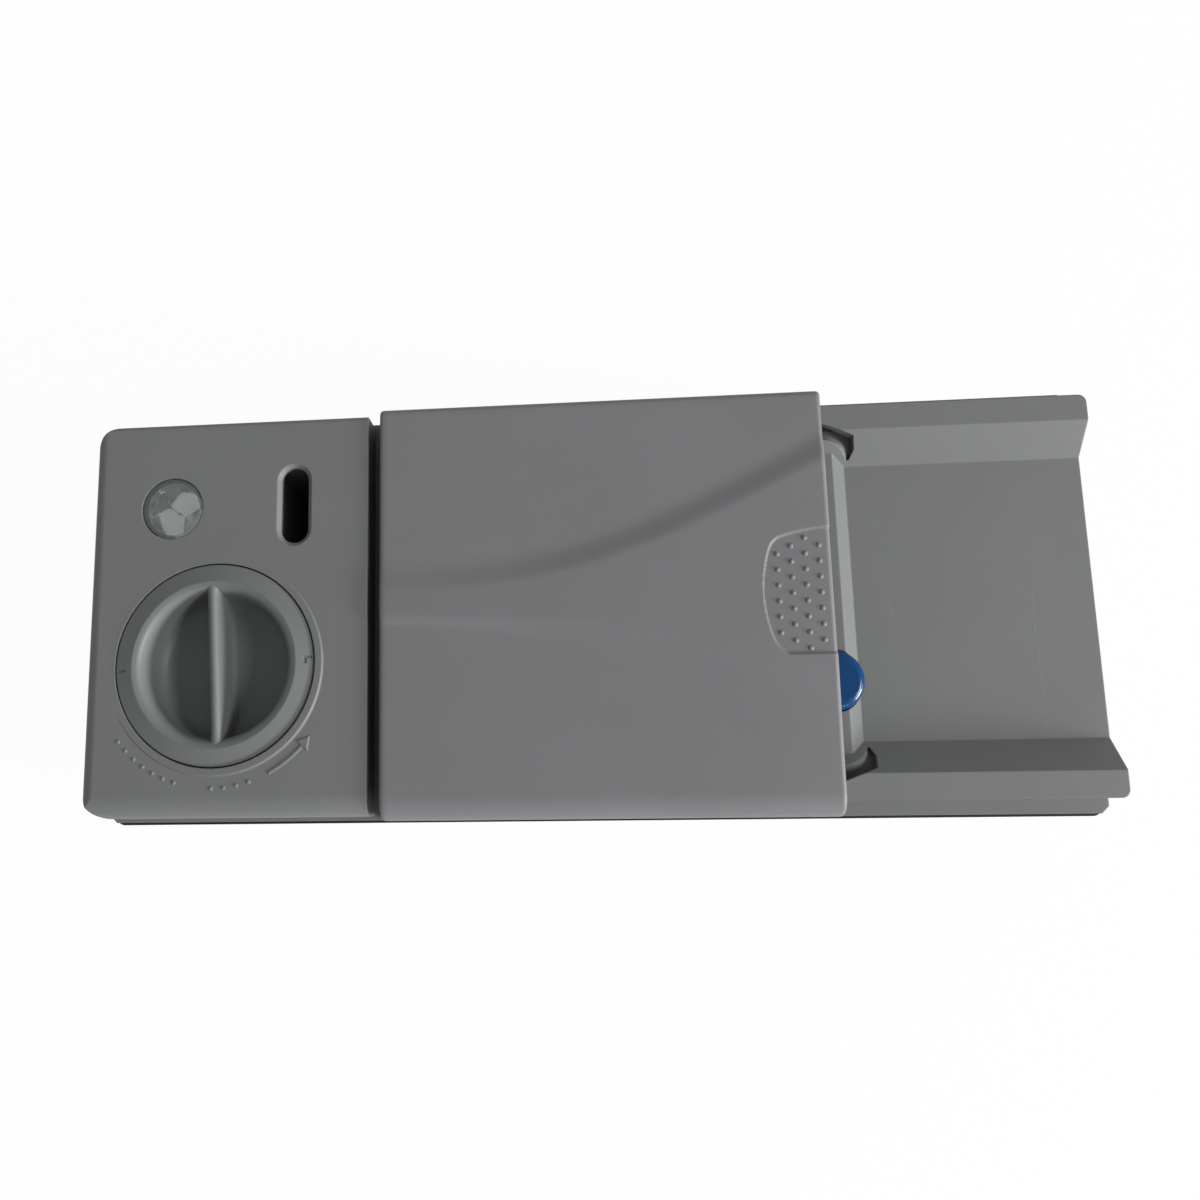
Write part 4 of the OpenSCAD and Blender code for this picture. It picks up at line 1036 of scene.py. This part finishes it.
# Radius and height above the panel, from the middle of the top over the rim to the prism
lens_profile = [(0.4, -0.05), (3.0, -0.05), (6.0, -0.05), (6.85, -0.05), (7.1, -0.09)]
lens_profile += [(7.28, -0.2), (7.38, -0.38), (WINDOW_R, -0.6), (WINDOW_R, -1.8), (PRISM_R, -1.8)]
spokes = np.linspace(0, 2 * math.pi, SPOKES, endpoint=False)
lens_points = []
for r, z in lens_profile:
    lens_points += [(r * math.cos(a), r * math.sin(a), PANEL + z) for a in spokes]
for r in np.linspace(PRISM_R, 0.3, 21):
    for a in spokes:
        x, y = r * math.cos(a), r * math.sin(a)
        z = SEAT_Z - PRISM_DEPTH + prism_depth(x, y)
        lens_points.append((x, y, min(z, SEAT_Z - 0.05)))
lens_faces = tube_faces(len(lens_points) // SPOKES, SPOKES)
lens_points = np.array(lens_points) + (WINDOW_X, WINDOW_Y, 0)
lens = piece_from("window_moulding", lens_points, lens_faces, FINISH["lens"], "housing", 12)
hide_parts("level_window")
print("window faces:", len(lens.data.polygons))

# %% [markdown]
# ## Marks on the panel
#
# Raised marks run round the cap's lower side: two rows of dots on the left and in the middle,
# and on the right an arrow that shows which way the cap opens. They are low and have the panel's
# own colour, so that one sees them only by the light on their flanks.


# %% Dots
def about_cap(r, degrees):
    """X and Y of a point at a radius and an angle about the cap's axis."""
    a = math.radians(degrees)
    return CAP_X + r * math.cos(a), CAP_Y + r * math.sin(a)


# Radius of the circle on which all marks lie, then a dot's radius and how deep its ball is sunk
MARK_R, DOT_R, DOT_SUNK = 28.6, 0.8, 0.55
dots = []
for degrees in (*np.linspace(218, 252, 7), *np.linspace(270, 288, 4)):
    dots.append((*about_cap(MARK_R, degrees), PANEL - DOT_SUNK))
marks = grow("panel_dots", dome_tree, {"Radius": DOT_R * MM}, dots, "housing", FINISH["housing"])
print("dots:", len(dots))

# %% Arrow
# The arrow stands out by ARROW_RISE, and its walls are rooted ROOT deep in the panel
ARROW_RISE, ROOT = 0.2, 0.3
SHAFT_HALF, HEAD_HALF = 0.5, 2.0
flank = [(SHAFT_HALF - 0.25, ARROW_RISE), (SHAFT_HALF, 0), (SHAFT_HALF + 0.2, -ROOT)]
shaft_section = [(-out, rise) for out, rise in reversed(flank)] + flank
shaft_degrees = np.linspace(298, 318, 25)
arrow_points = []
for degrees in shaft_degrees:
    for out, rise in shaft_section:
        arrow_points.append((*about_cap(MARK_R + out, degrees), PANEL + rise))
arrow_faces = tube_faces(len(shaft_degrees), len(shaft_section))

# The head is a triangle that gets smaller towards its top
head = [about_cap(MARK_R, 324)]
head += [about_cap(MARK_R - HEAD_HALF, 317.6), about_cap(MARK_R + HEAD_HALF, 317.6)]
middle = np.mean(head, axis=0)
arrow_faces += tube_faces(3, 3, len(arrow_points))
for share, z in ((1.0, -ROOT), (1.0, 0.0), (0.72, ARROW_RISE)):
    arrow_points += [(*(middle + (np.array(p) - middle) * share), PANEL + z) for p in head]
arrow = piece_from("panel_arrow", arrow_points, arrow_faces, FINISH["housing"], "housing", 25)
print("arrow faces:", len(arrow.data.polygons))

# %% [markdown]
# ## Ends of the guide slots
#
# Past the lid's edge each guide slot curves inwards. There the moulding runs down from the slot's
# inner lip in a soft ramp and ends under the rail. The ramp is a thin sheet between two lines, the
# arc of the lip and the slot's outer outline. It is steep at the lip and nearly flat at its foot,
# so that light fades on it, where an open slot would be black.

# %% Slot ends
# The inner lip is an arc: its middle, its radius, and the degrees it runs through
LIP_X, LIP_Y, LIP_R, LIP_DEGREES = 57.6, 30.2, 7.0, 67
# The slope inside the rail is RAIL_Z high at RAIL_Y and falls inwards by SLOPE per millimetre
RAIL_Z, RAIL_Y, SLOPE = 47.6, 38.9, 0.93
# How far the ramp starts under the lip and how far it falls, and how thick the sheet is
LIP_DROP, RAMP_DROP, SHEET_T = 0.2, 2.2, 1.0

# Shares of the way along the lip, and across to the outer line and a bit further
along = np.linspace(0, 1, 25)
across = np.linspace(-0.03, 1.25, 15)
fall = np.clip(across, 0, 1) * (1.6 - 0.6 * np.clip(across, 0, 1))
turn = np.radians(90 - LIP_DEGREES * along)
lip = np.column_stack([LIP_X + LIP_R * np.cos(turn), LIP_Y + LIP_R * np.sin(turn)])

# The outer line goes through four corners, and is cut into steps of the same share of its length
corners = np.array([(57.6, 40.45), (64.7, 37.8), (65.2, 35.2), (64.2, 32.9)])
run = np.append(0, np.cumsum(np.hypot(*np.diff(corners, axis=0).T)))
outer = np.column_stack([np.interp(along * run[-1], run, corners[:, k]) for k in (0, 1)])

ramp_points, ramp_faces = [], []
for side in (1, -1):
    first = len(ramp_points)
    for i, share in enumerate(along):
        line = lip[i] + across[:, None] * (outer[i] - lip[i])
        start = RAIL_Z - SLOPE * (RAIL_Y - lip[i][1]) - LIP_DROP
        z = start - RAMP_DROP * (1 - 0.4 * share) * fall
        top = [(x, side * y, height) for (x, y), height in zip(line, z)]
        ramp_points += top + [(x, y, height - SHEET_T) for x, y, height in reversed(top)]
    ramp_faces += tube_faces(len(along), 2 * len(across), first)
ramps = piece_from("guide_slot_ends", ramp_points, ramp_faces, FINISH["housing"], "housing")
print("slot end faces:", len(ramps.data.polygons))

# %% [markdown]
# ## Springs and winding
#
# Springs are wire wound on a helix. One tree winds them all: a helix of a given radius, length
# and number of turns, with a round section swept along it. Each is wound at its full length:
# the joint that presses or pulls it is listed, but the spring doesn't squash with it. The coil's
# outer layer of copper wire is the same helix, wound tight.

# %% Wound wire
wire_tree, wire_in = new_tree(
    "wound_wire",
    {
        "Coil radius": "NodeSocketFloat",
        "Wire radius": "NodeSocketFloat",
        "Length": "NodeSocketFloat",
        "Turns": "NodeSocketFloat",
        "Tilt": "NodeSocketFloat",
        "Place": "NodeSocketVector",
        "Finish": "NodeSocketMaterial",
    },
)
helix = add(
    wire_tree,
    "GeometryNodeCurveSpiral",
    {
        "Resolution": 28,
        "Rotations": (wire_in, "Turns"),
        "Start Radius": (wire_in, "Coil radius"),
        "End Radius": (wire_in, "Coil radius"),
        "Height": (wire_in, "Length"),
    },
)
wire_end = add(
    wire_tree,
    "GeometryNodeCurvePrimitiveCircle",
    {"Resolution": 8, "Radius": (wire_in, "Wire radius")},
)
swept = add(
    wire_tree,
    "GeometryNodeCurveToMesh",
    {"Curve": (helix, 0), "Profile Curve": (wire_end, 0), "Fill Caps": True},
)
lean = add(wire_tree, "ShaderNodeCombineXYZ", {0: 0.0, 1: (wire_in, "Tilt"), 2: 0.0})
laid = add(
    wire_tree,
    "GeometryNodeTransform",
    {"Geometry": (swept, 0), "Rotation": (lean, 0), "Translation": (wire_in, "Place")},
)
solid = add(wire_tree, "GeometryNodeRealizeInstances", {"Geometry": (laid, 0)})
dressed = add(
    wire_tree,
    "GeometryNodeSetMaterial",
    {"Geometry": (solid, 0), "Material": (wire_in, "Finish")},
)
add(wire_tree, "NodeGroupOutput", {"Geometry": (dressed, 0)})
print("wire tree nodes:", len(wire_tree.nodes))


# %% Springs and winding
def wind(name, start, length, turns, coil_r, wire_r, along_x, finish):
    """A helix that starts at a point, all in millimetres, and runs along X or up along Z."""
    values = {
        "Coil radius": coil_r * MM,
        "Wire radius": wire_r * MM,
        "Length": length * MM,
        "Turns": float(turns),
        "Tilt": math.pi / 2 if along_x else 0.0,
        "Place": [v * MM for v in start],
    }
    piece = grow(name, wire_tree, values, [(0, 0, 0)], "housing", FINISH[finish])
    return piece


# Name, start, length, turns, radii of coil and wire, and whether the spring lies along X
springs = (
    ("lid_spring", (-12.2, 37.2, 30.4), 114.9, 44, 1.7, 0.35, True),
    ("button_spring", (57.1, -18.3, 36.4), 4.1, 3.5, 4.3, 0.35, False),
    ("plunger_spring", (75.9, 20, 12), 4.7, 3.5, 4.6, 0.35, True),
    ("valve_spring", (-66.1, 27, 12), 11.7, 7, 2.7, 0.3, True),
)
# For each, the joint that shortens it, the end that stays, and the share of length that is left
squashes = (
    ("lid_slide", (103.1, 37.2, 30.4), 0.499),
    ("button_press", (57.1, -18.3, 36.05), 0.464),
    ("plunger_pull", (81, 20, 12), 0.537),
    ("valve_pull", (-54, 27, 12), 0.797),
)
for (name, *sizes, along_x), (joint, end, keep) in zip(springs, squashes):
    spring = wind(name + "_wire", *sizes, along_x, "spring_steel")
    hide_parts(name)
    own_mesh(spring)
wind("winding_outer_layer", (84.45, 20, 12), 18.6, 45, 9.25, 0.2, True, "copper")
print("wound:", len(springs) + 1)
